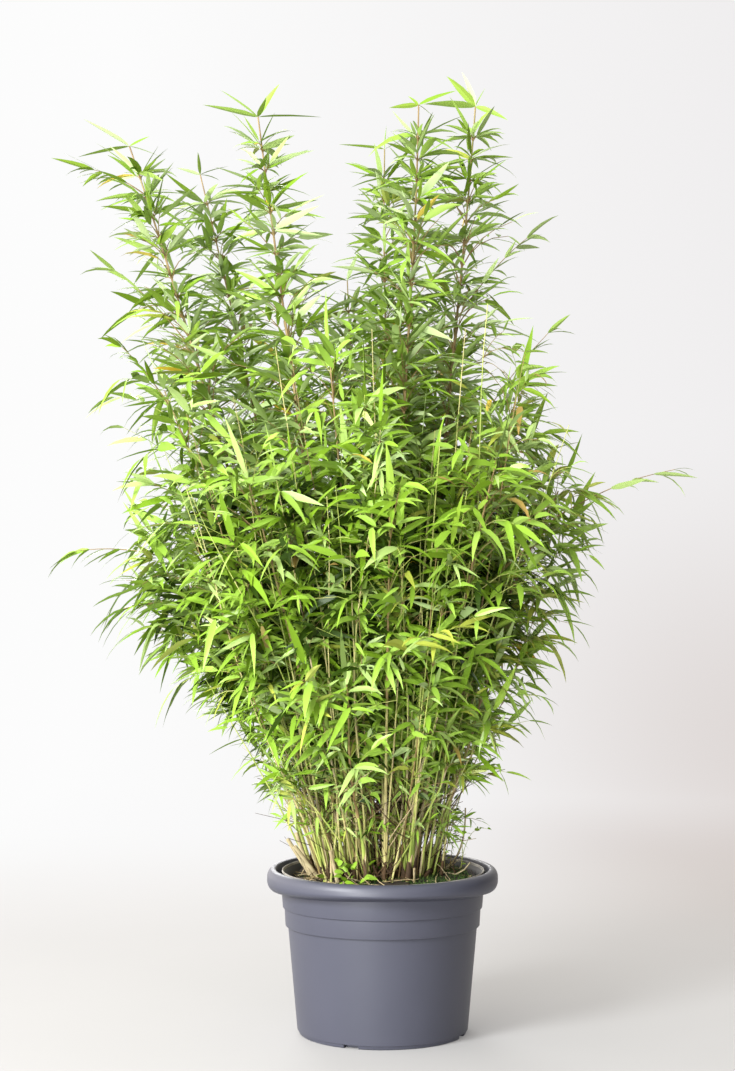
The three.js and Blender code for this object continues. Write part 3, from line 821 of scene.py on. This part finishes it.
def grow_mass(twigs, leaves, line, index, start, full, name, cane=None):
    """A mass: its stem carries the cane on, with twigs all round each joint and leaves on each twig."""
    dice = Seeded(500 + index)
    zone = ZONES[name]
    spire = cane in SPIRES
    top = stem_top(line, cane)
    nodes = round(line.length(start, top) / zone.gap)
    bare = BARE_TOP / line.length() if spire else 0
    for node in range(nodes):
        share = (node + 0.4) / nodes
        t = start + (top - bare - start) * share
        root, along = line.at(t), line.along(t)
        axes = across(along)
        left = line.length(t, top)
        few = round(zone.around * (1.5 - 0.95 * share if spire else 1.35 - 0.75 * share))
        narrow = 1 - SPIRE_TAPER * share ** 2 if spire else 1
        for number in range(few):
            turn = GOLDEN_ANGLE * node + index + tau * number / few + dice(-0.5, 0.5)
            out = spoke(axes, turn)
            goal = full * outline(share) * dice(*zone.near) * narrow - zone.length[1] * 0.7
            final = out * dice(*zone.out) + along * dice(*zone.up)
            final = (final - UP * dice(0.0, 0.25)).normalized()
            length = max(goal, 0.012) / (0.18 + 0.5 * max(final.dot(out), 0.4))
            length = min(length, 0.1 + 0.45 * left) * dice(0.8, 1.1)
            first = (along + out * dice(0.18, 0.5)).normalized()
            middle = root + first * length * 0.5
            bow = Bow(root, middle, middle + final * length * 0.5)
            # A deep spray takes the inner row of dark tints: painted shade.
            painted_shade_spray = not spire and dice() < painted_shade_share(bow.end)
            weights = TINT_WEIGHTS["inner" if painted_shade_spray else open_name(name, bow.end)]
            add_twig(twigs, leaves, bow, zone, round(dice(*zone.count)), dice, weights)
    if spire:
        add_spire_top(leaves, line.at(top), SPIRES[cane][1], dice)
    else:
        add_top(leaves, line, index, zone.length[1] * 1.15, name, dice)


def add_spire_top(leaves, top, rows, dice):
    """A tall stem ends in a few long leaves that spread from one joint."""
    for *direction, length, turn in rows:
        tint = dice.pick(TOP_TINTS)
        leaves.add(top, Vector(direction).normalized(), turn, length, length * dice(0.14, 0.18),
                   dice(0.0, 0.14), dice(-0.1, 0.1), dice(0.1, 0.3), tint)


def add_top(leaves, line, index, length, name, dice):
    """A stem ends in one upright leaf above a few that spread."""
    top, ahead = line.at(1), line.along(1)
    tint = dice.pick(TINT_WEIGHTS[name][:5])
    upright = ZONES[name]._replace(droop=(0.0, 0.05), roll=1.5)
    for number in range(5):
        out = spoke(across(ahead), 2.2 * number + index)
        direction = (ahead * dice(0.1, 0.8) + out).normalized() if number else ahead
        own = length * (dice(0.75, 1.0) if number else 1)
        zone = ZONES[name] if number else upright
        root = top + ahead * (10 - 6 * number) * MM
        add_leaf(leaves, root, direction, own, own * 0.13, tint, dice, zone)


def grow_sprig(twigs, leaves, line, at, tip, name, seed):
    """A long single twig that stands out from the crown, with leaves in twos and threes along it."""
    dice = Seeded(seed)
    root, tip = line.at(at), Vector(tip)
    direction = (tip - root).normalized()
    end = tip - direction * 0.06
    bow = Bow(root, (root + end) / 2 + UP * 0.12 * (end - root).length, end)
    bow.add_to(twigs, 8, 4, 1.3, TWIG_BROWN)
    tint = dice.pick(TINT_WEIGHTS[name][:4])
    level = UP.cross(direction).normalized()
    for s in SPRIG_SHARES:
        for hand in (-1, 0.15, 1) if s == SPRIG_END else (-1, 1):
            away = bow.along(s) + level * hand * dice(0.2, 1.0) - UP * dice(-0.2, 0.5)
            length = dice(0.042, 0.088)
            add_leaf(leaves, bow.at(s), away.normalized(), length, length * 0.14, tint, dice, ZONES[name])


def grow_low_shoots(twigs, leaves, line, index, end, share):
    """Short twigs with a few hanging leaves on the lower part of a cane."""
    dice = Seeded(3000 + index)
    joints = max(1, round(line.length(0, end) / INTERNODE))
    for joint in range(1, joints):
        root = line.at(end * joint / joints)
        if dice() > share * min(1, (root.z - SOIL_TOP) / 0.08):
            continue
        for _ in range(2):
            out = (heading(dice.turn()) + Vector((root.x, root.y, 0)) * 4).normalized()
            far = dice(0.02, 0.07)
            middle = root + UP * far * 0.4 + out * far * 0.3
            tip = root + (out + UP * dice(0.1, 0.9)).normalized() * far
            add_twig(twigs, leaves, Bow(root, middle, tip), ZONES["shoot"], 4, dice, TINT_WEIGHTS["low"])


# Soil and what lies on it

SOIL_SIDES, SOIL_RINGS = 96, 26
MOSS_TUFTS = 5200
STALKS = 520
STUBS = 46
# Two cut stubs that show at the left: foot and tip.
LEFT_STUBS = (((-0.122, 0.0), (-0.164, -0.02, 0.33)), ((-0.112, -0.03), (-0.15, -0.055, 0.322)))
SEEDLING = (-0.062, -0.122)
SEEDLING_LEAVES = 44
TENDRILS = 7
CROSSING_STEMS = 640
PAINTED_SHADE_LEAVES = 420


def soil_height(x, y):
    """The soil is heaped round the canes, and lower at the left and along the pot's wall."""
    ripple = 2.2 * sin(61 * x + 1.3) * cos(53 * y) + 1.4 * sin(140 * x + 97 * y)
    ripple += 0.9 * sin(310 * x - 220 * y)
    hollow = 22 * exp(-((x + 0.14) ** 2 + (y - 0.025) ** 2) / 0.032 ** 2)
    edge = 4 * (hypot(x, y) / SOIL_RADIUS) ** 6
    return SOIL_TOP + (2 + ripple - hollow - edge) * MM + TOP_LEAN * y


def build_soil(earth):
    points = [(0, 0, SOIL_TOP)]
    for ring in range(1, SOIL_RINGS + 1):
        points += circle((SOIL_RADIUS + 2 * MM) * ring / SOIL_RINGS, SOIL_TOP, SOIL_SIDES)
    points = [(x, y, soil_height(x, y)) for x, y, _ in points]
    points += circle(SOIL_RADIUS * 0.83, SOIL_LOW, SOIL_SIDES) + [(0, 0, SOIL_LOW)]
    gather = Gather()
    gather.add(points, pointed_faces(SOIL_RINGS + 1, SOIL_SIDES))
    keep(gather.build("root_ball", [earth]), "soil", "soil")


def build_moss(moss):
    dice = Seeded(41)
    gather = Gather()
    for _ in range(MOSS_TUFTS):
        x, y = dice.in_disc(SOIL_RADIUS * 0.96)
        patch = sin(38 * x + 0.5) * cos(31 * y + 0.9) + 1.2 * x / SOIL_RADIUS
        if patch < -0.15:
            continue
        foot = Vector((x, y, soil_height(x, y) - 1 * MM))
        lean = Vector((dice(-1, 1), dice(-1, 1), 1.4)).normalized()
        tall = dice(4, 10) * MM
        u, v = across(lean)
        wide = dice(0.8, 1.6) * MM
        back = foot - u * wide * 0.5
        points = [foot + u * wide, back + v * wide * 0.8, back - v * wide * 0.8, foot + lean * tall]
        gather.add(points, [(0, 2, 1), (0, 1, 3), (1, 2, 3), (2, 0, 3)], 0 if dice() < 0.6 else 1)
    keep(gather.build("moss", moss, smooth=False), "foliage")


def build_litter(straws):
    """Dry stalks and husks that lie on the soil."""
    dice = Seeded(43)
    gather = Gather()
    for _ in range(STALKS):
        x, y = dice.in_disc(SOIL_RADIUS * 0.93)
        if x - y > -0.02 and dice() < 0.72:
            continue
        turn = dice.turn()
        length = dice(14, 62) * MM
        rise = dice(0.0, 0.35) if dice() < 0.8 else dice(0.4, 1.2)
        ahead = heading(turn, rise).normalized()
        side = UP.cross(ahead).normalized()
        bow = dice(-0.2, 0.2) * length
        path = []
        for s in (0, 1 / 3, 2 / 3, 1):
            spot = Vector((x, y, 0)) + ahead * length * (s - 0.5) + side * bow * sin(pi * s)
            if hypot(spot.x, spot.y) > SOIL_RADIUS * 0.97:
                break
            spot.z = soil_height(spot.x, spot.y) + 0.8 * MM + max(0, ahead.z) * length * s
            path.append(spot)
        if len(path) < 3:
            continue
        thick = dice(0.5, 1.5) * MM
        add_rod(gather, path, thinning(thick, len(path)), 4, dice.pick((3, 2, 1)))
    keep(gather.build("litter", straws, smooth=False), "old_cane")


def add_stub(gather, foot, lean, radius, tall, slot):
    """A cut cane: a short hollow tube."""
    sides = 8
    points = []
    for height, out in ((-0.012, 1.15), (0.3 * tall, 1.0), (tall, 1.0), (tall, 0.62), (tall * 0.6, 0.5)):
        points += ring_round(foot + lean * height, across(lean), radius * out, sides)
    gather.add(points, ring_faces(5, sides), slot)


def build_stubs():
    """Old cut canes that lean outwards, and one pale stem that arches up from the soil at the right."""
    dice = Seeded(47)
    gather = Gather()
    for _ in range(STUBS):
        x, y = dice.in_disc(0.108, 0.05)
        foot = Vector((x, y, soil_height(x, y)))
        lean = UP + Vector((x, y, 0)) * 5 + Vector((dice(-0.4, 0.4), dice(-0.4, 0.4), 0))
        radius, tall = dice(1.5, 3.4) * MM, dice(8, 42) * MM
        add_stub(gather, foot, lean.normalized(), radius, tall, dice.pick((1, 6, 1)))
    for foot, tip in LEFT_STUBS:
        start = Vector((*foot, soil_height(*foot)))
        lean = Vector(tip) - start
        add_stub(gather, start, lean.normalized(), 3.4 * MM, lean.length, 2)
    bend = Bow(Vector((0.085, 0.03, SOIL_TOP)), Vector((0.148, 0.03, SOIL_TOP + 4 * MM)),
               Vector((0.146, 0.03, SOIL_TOP + 112 * MM)))
    add_rod(gather, bend.path(10), [(2.2 - 0.09 * step) * MM for step in range(11)], 6, 2)
    return gather


def grow_weeds(twigs, leaves):
    """A bright seedling at the front, and wiry tendrils with tiny leaves at the right."""
    dice = Seeded(53)
    zone = ZONES["low"]
    heart = Vector((*SEEDLING, soil_height(*SEEDLING)))
    for number in range(SEEDLING_LEAVES):
        out = heading(GOLDEN_ANGLE * number, dice(0.2, 1.3)).normalized()
        root = heart + Vector((dice.normal(0.014), dice.normal(0.008), dice(0.004, 0.042)))
        length = dice(0.018, 0.034)
        add_leaf(leaves, root, out, length, length * 0.36, dice.pick((0, 0, 5, 3)), dice, zone)
    for number in range(TENDRILS):
        foot = Vector((dice(0.085, 0.138), dice(-0.06, 0.04), SOIL_TOP - 2 * MM))
        rise = Vector((dice(0.0, 0.03), dice(-0.03, 0.01), dice(0.035, 0.085)))
        high = foot + rise
        tip = high + Vector((dice(-0.03, 0.04), dice(-0.03, 0), 0))
        bow = Bow(foot, high + UP * 0.012, tip)
        bow.add_to(twigs, 7, 3, 0.9, CANE_GREEN if number % 2 else TWIG_BROWN)
        for step in range(9):
            out = heading(GOLDEN_ANGLE * step, 0.4).normalized()
            length = dice(0.008, 0.015)
            tint = dice.pick((1, 1, 3, 3))
            add_leaf(leaves, bow.at((step + 1) / 9), out, length, length * 0.5, tint, dice, zone)


def grow_core(husks, leaves):
    """Old thin stems that cross between the canes' feet, and near-black leaves of painted shade among them.
    """
    dice = Seeded(61)
    for _ in range(CROSSING_STEMS):
        height = dice(0.262, 0.42)
        x, y = dice.in_disc(0.095 + 0.32 * (height - SOIL_TOP))
        foot = Vector((x - 0.01, y, height))
        ahead = Vector((dice(-1, 1), dice(-1, 1), dice(0.2, 1.8))).normalized()
        length = dice(0.05, 0.15)
        bend = Vector((dice.normal(0.008), dice.normal(0.008), 0))
        bow = Bow(foot, foot + ahead * length * 0.5 + bend, foot + ahead * length)
        thick = dice(0.5, 1.2) * MM
        # Most take the dark straw, which is partly painted shade.
        add_rod(husks, bow.path(3), thinning(thick, 4), 4, 1 if dice() < 0.7 else 0)
    for _ in range(PAINTED_SHADE_LEAVES):
        height = dice(0.29, 0.5)
        x, y = dice.in_disc(0.08 + 0.4 * (height - SOIL_TOP))
        root = Vector((x - 0.012, y, height))
        ahead = Vector((dice(-1, 1), dice(-1, 1), dice(-0.7, 0.7))).normalized()
        length = dice(0.028, 0.056)
        tint = SHADE if dice() < 0.6 else DEEP
        width = length * dice(0.13, 0.18)
        add_leaf(leaves, root, ahead, length, width, tint, dice, ZONES["inner"])


# Planter

# Sizes of the planter's outline, in mm.
PLANTER_FOOT = 144
PLANTER_WALL = 4
PLANTER_FLOOR = 8
LOWER_STEP, UPPER_STEP = 183, 214
PLANTER_CREASE = 28
RIM_SAG = 5 * MM
# Half the depth, width and height of the blocks that cut the notches.
NOTCH = (12 * MM, 13 * MM, 6 * MM)
BOX_FACES = [(0, 1, 3, 2), (4, 6, 7, 5), (0, 4, 5, 1), (2, 3, 7, 6), (0, 2, 6, 4), (1, 5, 7, 3)]


def turned(profile, sides):
    """A solid of revolution. The profile, in mm, goes up from the axis and ends on it."""
    (_, low), *rings, (_, high) = [(radius * MM, height * MM) for radius, height in profile]
    points = [(0, 0, low)]
    for radius, height in rings:
        points += circle(radius, height, sides)
    points.append((0, 0, high))
    return points, [(face[0], *face[:0:-1]) for face in pointed_faces(len(rings), sides)]


def arc(centre, radii, start, end, steps):
    """Points of an ellipse's arc, with its angles in degrees."""
    turns = [radians(start + (end - start) * step / steps) for step in range(steps + 1)]
    return [(centre[0] + radii[0] * cos(turn), centre[1] + radii[1] * sin(turn)) for turn in turns]


def planter_profile():
    """The planter's outline in mm: up its outside, over the rolled rim and down its inside."""
    rim, top = RIM_RADIUS / MM, RIM_TOP / MM
    foot, wall, floor, low, high = PLANTER_FOOT, PLANTER_WALL, PLANTER_FLOOR, LOWER_STEP, UPPER_STEP
    under = top - 37
    outside = [(0, 0), (foot - 1.5, 0), (foot, 1.5), (foot + 1, 6.2), (147, 7), (147.2, 8.5)]
    outside += [(163.3, low - 3), (163.5, low - 1.2), (164.5, low - 0.8)]
    outside += arc((166.8, low + 0.6), (1.2, 1.2), -90, 0, 3)
    outside += [(169.6, high - 3), (169.8, high - 1.2), (170.6, high - 0.8)]
    outside += arc((171.6, high + 0.5), (1.1, 1.1), -90, 0, 3)
    outside += [(174.6, under - 1), (176.6, under + 0.6)]
    outside += arc((rim - 12, top - 19), (12, 13.5), -72, 8, 8)
    outside += arc((rim - 11, top - 15), (11, 15), 12, 100, 10)
    outside += arc((rim - 13, top - 3), (2.5, 2.8), 110, 180, 3)
    inside = [(183.5, top - 10), (178, top - 18), (172, top - 30), (169, high)]
    inside += [(163.5 - wall, low - 5), (147 - wall, floor + 1), (0, floor)]
    return outside + inside


def lean_rim(x, y, z):
    """The rim leans to the front, and its lower edge hangs deeper at both sides than at front and back."""
    rise = clamp((z - RIM_TOP + 44 * MM) / (34 * MM))
    under = max(0, 1 - abs(z - RIM_TOP + 34 * MM) / (16 * MM))
    sides = (x * x - y * y) / max(x * x + y * y, 1e-9)
    return x, y, z + TOP_LEAN * y * rise - RIM_SAG * sides * under


def notch_cutter():
    """Four blocks that leave small notches under the planter's foot."""
    notches = Gather()
    for number in range(4):
        out = heading(number * pi / 2 - pi / 2 - 0.38)
        side = UP.cross(out)
        middle = out * PLANTER_FOOT * MM
        signs = (-1, 1)
        ends = [(a, b, c) for a in signs for b in signs for c in signs]
        corners = [out * a * NOTCH[0] + side * b * NOTCH[1] + UP * c * NOTCH[2] for a, b, c in ends]
        notches.add([middle + corner for corner in corners], BOX_FACES)
    return notches.build("notch_cutter", [], smooth=False)


def build_planter(plastic):
    points, faces = turned(planter_profile(), 160)
    gather = Gather()
    gather.add([lean_rim(*point) for point in points], faces)
    planter = gather.build("planter", [plastic], sharp=PLANTER_CREASE)
    cutter = notch_cutter()
    cut = planter.modifiers.new("notches", "BOOLEAN")
    cut.operation = "DIFFERENCE"
    cut.solver = "EXACT"
    cut.object = cutter
    graph = bpy.context.evaluated_depsgraph_get()
    finished = bpy.data.meshes.new_from_object(planter.evaluated_get(graph))
    planter.modifiers.clear()
    planter.data = finished
    bpy.data.objects.remove(cutter)
    finished.set_sharp_from_angle(angle=radians(PLANTER_CREASE))
    keep(planter, "planter", "container")


def build_inner_pot(black, pale_lip):
    """A thin pot, a little out of round, whose lip shows inside the planter."""
    floor, foot, wall = INNER_FLOOR / MM, 134, 2
    lip, top = INNER_RADIUS / MM + 5.5, INNER_TOP / MM + 2.5
    profile = [(0, floor), (foot, floor), (lip - 5, top - 6), (lip - 1, top - 5), (lip, top - 3)]
    profile += [(lip - 0.6, top - 0.4), (lip - 1.4, top), (lip - 2.4, top - 0.6), (lip - 3.5, top - 4)]
    profile += [(lip - 7, top - 8), (foot - wall, floor + wall), (0, floor + wall)]
    points, faces = turned(profile, 120)
    top *= MM
    bent = []
    for x, y, z in points:
        rise = max(0, z / top) ** 6
        wide = 1 + 0.008 * rise * cos(3 * atan2(y, x) + 0.6)
        bent.append((x * wide, y * wide, z + TOP_LEAN * y * rise))
    gather = Gather()
    gather.add(bent, faces)
    pot = gather.build("inner_pot_shell", [black, pale_lip])
    # The band along the top of the lip takes the paler material.
    for face in pot.data.polygons:
        if face.center.z - TOP_LEAN * face.center.y > top - 3.2 * MM:
            face.material_index = 1
    keep(pot, "inner_pot", "inner_pot")


# Camera, lights and stage

CAMERA_HEIGHT = 0.66
CAMERA_DISTANCE = 3.0
CAMERA_SIDE = -0.026
CAMERA_PITCH = 3.75
FOCAL_PIXELS = 1710
PHOTO_HEIGHT = 1071
SENSOR = 36
# Of each light: its place, what it looks at, size, power and colour.
COOL = (0.96, 0.985, 1.0)
LIGHTS = {
    "key": ((-2.6, -2.9, 2.5), (0, 0, 0.75), 1.5, 280, COOL),
    "low": ((-1.5, -3.5, 0.5), (0, 0, 0.5), 1.4, 125, COOL),
    "rear": ((-0.9, 4.0, 2.6), (0, 0, 0.8), 2.0, 90, (1, 1, 1)),
}
SKY = (1.0, 0.95, 0.89)
SKY_LEFT = 2.6
SKY_RIGHT = 0.02
STAGE_RADIUS = 5.2
STAGE_SIDES = 64
WALL_CURVE = 2.0
WALL_TOP = 9.0
# The floor takes light near the plant and turns into a glow, of which it has a little everywhere, between
# these distances; that little glow is painted light that lightens the floor's shadows near the plant. The
# glow goes from one tint to another from left to right, a painted fall-off of light, and carries a painted
# shadow to the right of and behind the plant, deeper on the floor near it.
STAGE_FADE = (0.4, 3.4)
STAGE_EVEN = 0.18
PAPER_SPAN = (-1.5, 2.5)
PAPER_LEFT = (0.975, 0.975, 0.975)
PAPER_RIGHT = (0.86, 0.845, 0.85)
PAPER_PAINTED_SHADOW = (0.84, 0.8, 0.78)
FLOOR_PAINTED_SHADOW = (0.82, 0.78, 0.755)
FLOOR_PAINTED_SHADOW_FADE = (5.0, 2.0)


def build_camera():
    data = bpy.data.cameras.new("camera")
    data.sensor_width = SENSOR
    data.lens = FOCAL_PIXELS / PHOTO_HEIGHT * SENSOR
    camera = place("camera", data)
    camera.location = (CAMERA_SIDE, -CAMERA_DISTANCE, CAMERA_HEIGHT)
    camera.rotation_euler = (radians(90 + CAMERA_PITCH), 0, 0)
    bpy.context.scene.camera = camera


def smooth_step(tree, value, start, end, low=0.0):
    """A value that rises smoothly to 1 while another goes from start to end."""
    step = add_node(tree, "MapRange", {"Value": value, "From Min": start, "From Max": end, "To Min": low})
    step.interpolation_type = "SMOOTHSTEP"
    return step.outputs["Result"]


def paint_shadow(tree, colour, shadow_colour, *shares):
    """Painted shadow: a colour, multiplied by another as far as all the shares together say."""
    share = shares[0]
    for other in shares[1:]:
        both = add_node(tree, "Math", {0: share, 1: other})
        both.operation = "MULTIPLY"
        share = both.outputs["Value"]
    mix = add_node(tree, "Mix")
    mix.data_type = "RGBA"
    mix.blend_type = "MULTIPLY"
    feed(tree, mix, {"Factor": share, "A": colour, "B": (*shadow_colour, 1)})
    return mix.outputs["Result"]


def add_glow(tree, near=None):
    """The distance from the plant, and the far paper's glow with its painted fall-off and painted shadow, to
    which a colour adds more painted shadow near the plant.
    """
    spot = add_node(tree, "TexCoord").outputs["Object"]
    split = add_node(tree, "SeparateXYZ", {"Vector": spot})
    x, y, z = (split.outputs[axis] for axis in "XYZ")
    side = add_node(tree, "MapRange", {"Value": x, "From Min": PAPER_SPAN[0], "From Max": PAPER_SPAN[1]})
    ramp = add_node(tree, "ValToRGB", {"Fac": side.outputs["Result"]})
    ramp.color_ramp.elements[0].color = (*PAPER_LEFT, 1)
    ramp.color_ramp.elements[1].color = (*PAPER_RIGHT, 1)
    length = add_node(tree, "VectorMath", {0: spot})
    length.operation = "LENGTH"
    far = length.outputs["Value"]
    behind = smooth_step(tree, y, 0.0, 1.6)
    right, low = smooth_step(tree, x, 0.0, 2.0), smooth_step(tree, z, 2.0, 0.0)
    colour = paint_shadow(tree, ramp.outputs["Color"], PAPER_PAINTED_SHADOW, right, behind, low)
    if near:
        close = smooth_step(tree, far, *FLOOR_PAINTED_SHADOW_FADE)
        colour = paint_shadow(tree, colour, near, close, smooth_step(tree, x, 0.0, 1.0), behind)
    return far, add_node(tree, "Emission", {"Color": colour}).outputs["Emission"]


def floor_paper():
    """Pale paper that takes light and shadow near the plant and fades into the glow far from it."""
    made = mottled("studio_paper", [(0.345, 0.34, 0.337), (0.36, 0.355, 0.352)], 0.9, 1.5)
    tree = made.node_tree
    far, glow = add_glow(tree, FLOOR_PAINTED_SHADOW)
    paper = tree.nodes["Principled BSDF"].outputs["BSDF"]
    share = smooth_step(tree, far, *STAGE_FADE, STAGE_EVEN)
    mix = add_node(tree, "MixShader", {"Fac": share, 1: paper, 2: glow})
    feed(tree, tree.nodes["Material Output"], {"Surface": mix.outputs["Shader"]})
    return made


def wall_paper():
    made = material("studio_wall_paper", PAPER_LEFT, 0.9)
    tree = made.node_tree
    feed(tree, tree.nodes["Material Output"], {"Surface": add_glow(tree)[1]})
    return made


def build_stage_piece(name, profile, paper):
    """An open surface of revolution for the stage."""
    points = [point for radius, height in profile for point in circle(radius, height, STAGE_SIDES)]
    gather = Gather()
    gather.add(points, ring_faces(len(profile), STAGE_SIDES, False))
    made = gather.build(name, [paper], sharp=0)
    return made


def build_stage():
    """A pale round floor, and a wall far round it that only the camera sees."""
    flat = [(STAGE_RADIUS, 0), (STAGE_RADIUS / 2, 0), (1 * MM, 0)]
    build_stage_piece("studio_floor", flat, floor_paper())
    curve = arc((STAGE_RADIUS, WALL_CURVE), (WALL_CURVE, WALL_CURVE), -90, 0, 10)
    curve.append((STAGE_RADIUS + WALL_CURVE, WALL_TOP))
    wall = build_stage_piece("studio_wall", curve, wall_paper())
    wall.visible_diffuse = False
    wall.visible_glossy = False
    wall.visible_shadow = False


def build_lights():
    """A sky that is bright at the left, and three soft lights."""
    bpy.context.scene.view_settings.view_transform = "Standard"
    world = bpy.data.worlds.new("studio")
    bpy.context.scene.world = world
    world.use_nodes = True
    tree = world.node_tree
    spot = add_node(tree, "TexCoord").outputs["Generated"]
    side = add_node(tree, "SeparateXYZ", {"Vector": spot}).outputs["X"]
    strength = add_node(tree, "MapRange", {
        "Value": side, "From Min": -1, "To Min": SKY_LEFT, "To Max": SKY_RIGHT,
    })
    feed(tree, tree.nodes["Background"], {"Color": (*SKY, 1), "Strength": strength.outputs["Result"]})
    for name, (spot, target, size, power, colour) in LIGHTS.items():
        data = bpy.data.lights.new(name, "AREA")
        data.shape = "DISK"
        data.size = size
        data.energy = power
        data.color = colour
        light = place(name, data)
        light.location = spot
        light.rotation_euler = (Vector(target) - Vector(spot)).to_track_quat("-Z", "Y").to_euler()
        light.visible_camera = False


# The whole plant

def straw_materials():
    return [
        mottled("straw", [(0.3, 0.22, 0.1), (0.55, 0.45, 0.26)], 0.7, 60),
        # The dark straw is partly old husks' and stems' own colour and partly painted shade, near-black to
        # darken the gaps among the canes' feet.
        mottled("dark_straw_and_painted_shade", [(0.022, 0.011, 0.004), (0.105, 0.058, 0.02)], 0.8, 60),
        mottled("straw_pale", [(0.32, 0.25, 0.13), (0.54, 0.46, 0.27)], 0.7, 60),
    ]


def cane_materials():
    """In the order of STRAW, CANE_GREEN, STEM_TAN and TWIG_BROWN, with streaks along the canes."""
    straw = [(0.32, 0.28, 0.1), (0.56, 0.5, 0.21), (0.31, 0.37, 0.07)]
    green = [(0.17, 0.25, 0.04), (0.37, 0.44, 0.09), (0.56, 0.53, 0.2)]
    tan = [(0.16, 0.098, 0.036), (0.3, 0.205, 0.08), (0.2, 0.19, 0.05)]
    return [
        mottled("cane_straw", straw, 0.42, 40, (1, 1, 0.12)),
        mottled("cane_green", green, 0.38, 30, (1, 1, 0.12)),
        mottled("stem_tan", tan, 0.45, 40, (1, 1, 0.15)),
        mottled("twig_brown", [(0.17, 0.105, 0.04), (0.32, 0.225, 0.09)], 0.5, 60),
    ]


def build_container():
    """The planter, the inner pot, the root ball and the moss on it."""
    plastic = [(0.049, 0.051, 0.072), (0.056, 0.058, 0.081)]
    black = [(0.018, 0.018, 0.02), (0.035, 0.034, 0.034)]
    pale_lip = [(0.2, 0.18, 0.16), (0.42, 0.39, 0.34)]
    peat = [(0.008, 0.005, 0.003), (0.03, 0.018, 0.01), (0.012, 0.018, 0.005)]
    build_planter(mottled("planter_plastic", plastic, 0.44, 7, bump=(0.12, 900)))
    build_inner_pot(mottled("inner_plastic", black, 0.5, 25, bump=(0.1, 100)),
                    mottled("inner_plastic_edge", pale_lip, 0.7, 35))
    build_soil(mottled("peat", peat, 0.95, 70, bump=(0.9, 420)))
    build_moss([
        mottled("moss_dark", [(0.01, 0.024, 0.005), (0.03, 0.065, 0.01)], 0.9, 90),
        mottled("moss_light", [(0.045, 0.105, 0.014), (0.1, 0.18, 0.028)], 0.9, 90),
    ])


def leaves_of(groups, part):
    """The leaves of one piece of foliage, and the nodes that it replaces."""
    return groups.setdefault(part, (Leaves(), []))


def grow_leafy_canes(canes, husks, twigs, groups):
    for index, (name, zone, tip, start, foot, reach, *bend) in enumerate(LEAFY_CANES):
        line = Line(tip, index, *bend)
        dice = Seeded(100 + index)
        leaves, nodes = leaves_of(groups, zone)
        nodes.append("leaves_" + name)
        add_cane(canes, line, foot, start, STRAW if dice() < 0.3 else CANE_GREEN)
        add_stem(canes, line, foot, start, stem_top(line, name))
        dress_cane(husks, line, foot, start, 0.7, dice)
        grow_low_shoots(twigs, leaves, line, index, start, 0.35)
        grow_mass(twigs, leaves, line, index, start, reach * MM, zone, name)
        for number, (cane, at, far_tip) in enumerate(SPRIGS):
            if cane == name:
                grow_sprig(twigs, leaves, line, start + (1 - start) * at, far_tip, zone, 700 + number)


def grow_other_canes(canes, husks, twigs, groups, stubs):
    low = leaves_of(groups, "low")[0]
    for index, (_, tip, foot) in enumerate(BARE_CANES, len(LEAFY_CANES)):
        line = Line(tip, index)
        dice = Seeded(100 + index)
        add_cane(canes, line, foot, 1, STRAW if dice() < 0.3 else CANE_GREEN)
        dress_cane(husks, line, foot, 1, 0.7, dice)
        grow_low_shoots(twigs, low, line, index, 1, 0.6)
    for index, (_, tip, foot) in enumerate(CUT_CANES, len(LEAFY_CANES + BARE_CANES)):
        line = Line(tip, index)
        add_stub(stubs, line.at(0), line.along(0), foot * MM * 0.75, line.length(), 2)
    for number, (line, foot, part) in enumerate(thin_canes()):
        dice = Seeded(2000 + number)
        add_cane(canes, line, foot, 1, dice.pick((2, 5)), 6)
        dress_cane(husks, line, foot, 1, 0.5, dice)
        grow_low_shoots(twigs, low, line, 100 + number, 0.6, 0.7)
        if part:
            leaves = leaves_of(groups, part)[0]
            grow_mass(twigs, leaves, line, 100 + number, THIN_LEAVES_START, THIN_REACH, "inner")
    for number, (line, foot) in enumerate(front_stems()):
        dice = Seeded(2600 + number)
        add_cane(canes, line, foot, 1, dice.pick((2, 4, 2)), 6)
        grow_low_shoots(twigs, leaves_of(groups, "front")[0], line, 400 + number, 1, 0.5)


def build_plant():
    straws, cane_looks, leaf_looks = straw_materials(), cane_materials(), leaf_materials()
    build_litter(straws)
    stubs, canes, husks, twigs = build_stubs(), Gather(), Gather(), Gather()
    groups = {}
    grow_leafy_canes(canes, husks, twigs, groups)
    grow_other_canes(canes, husks, twigs, groups, stubs)
    grow_weeds(twigs, leaves_of(groups, "low")[0])
    grow_core(husks, leaves_of(groups, "inner_middle")[0])
    keep(stubs.build("cut_canes", straws), "old_cane", *["cane_" + row[0] for row in CUT_CANES])
    keep(canes.build("canes", cane_looks), "cane", *["cane_" + row[0] for row in LEAFY_CANES + BARE_CANES])
    keep(husks.build("cane_sheaths", straws), "old_cane")
    keep(twigs.build("twigs", cane_looks), "cane")
    for part, (leaves, nodes) in groups.items():
        keep(leaves.build("foliage_" + part, leaf_looks), "foliage", *nodes)


build_camera()
build_stage()
build_lights()
build_container()
build_plant()
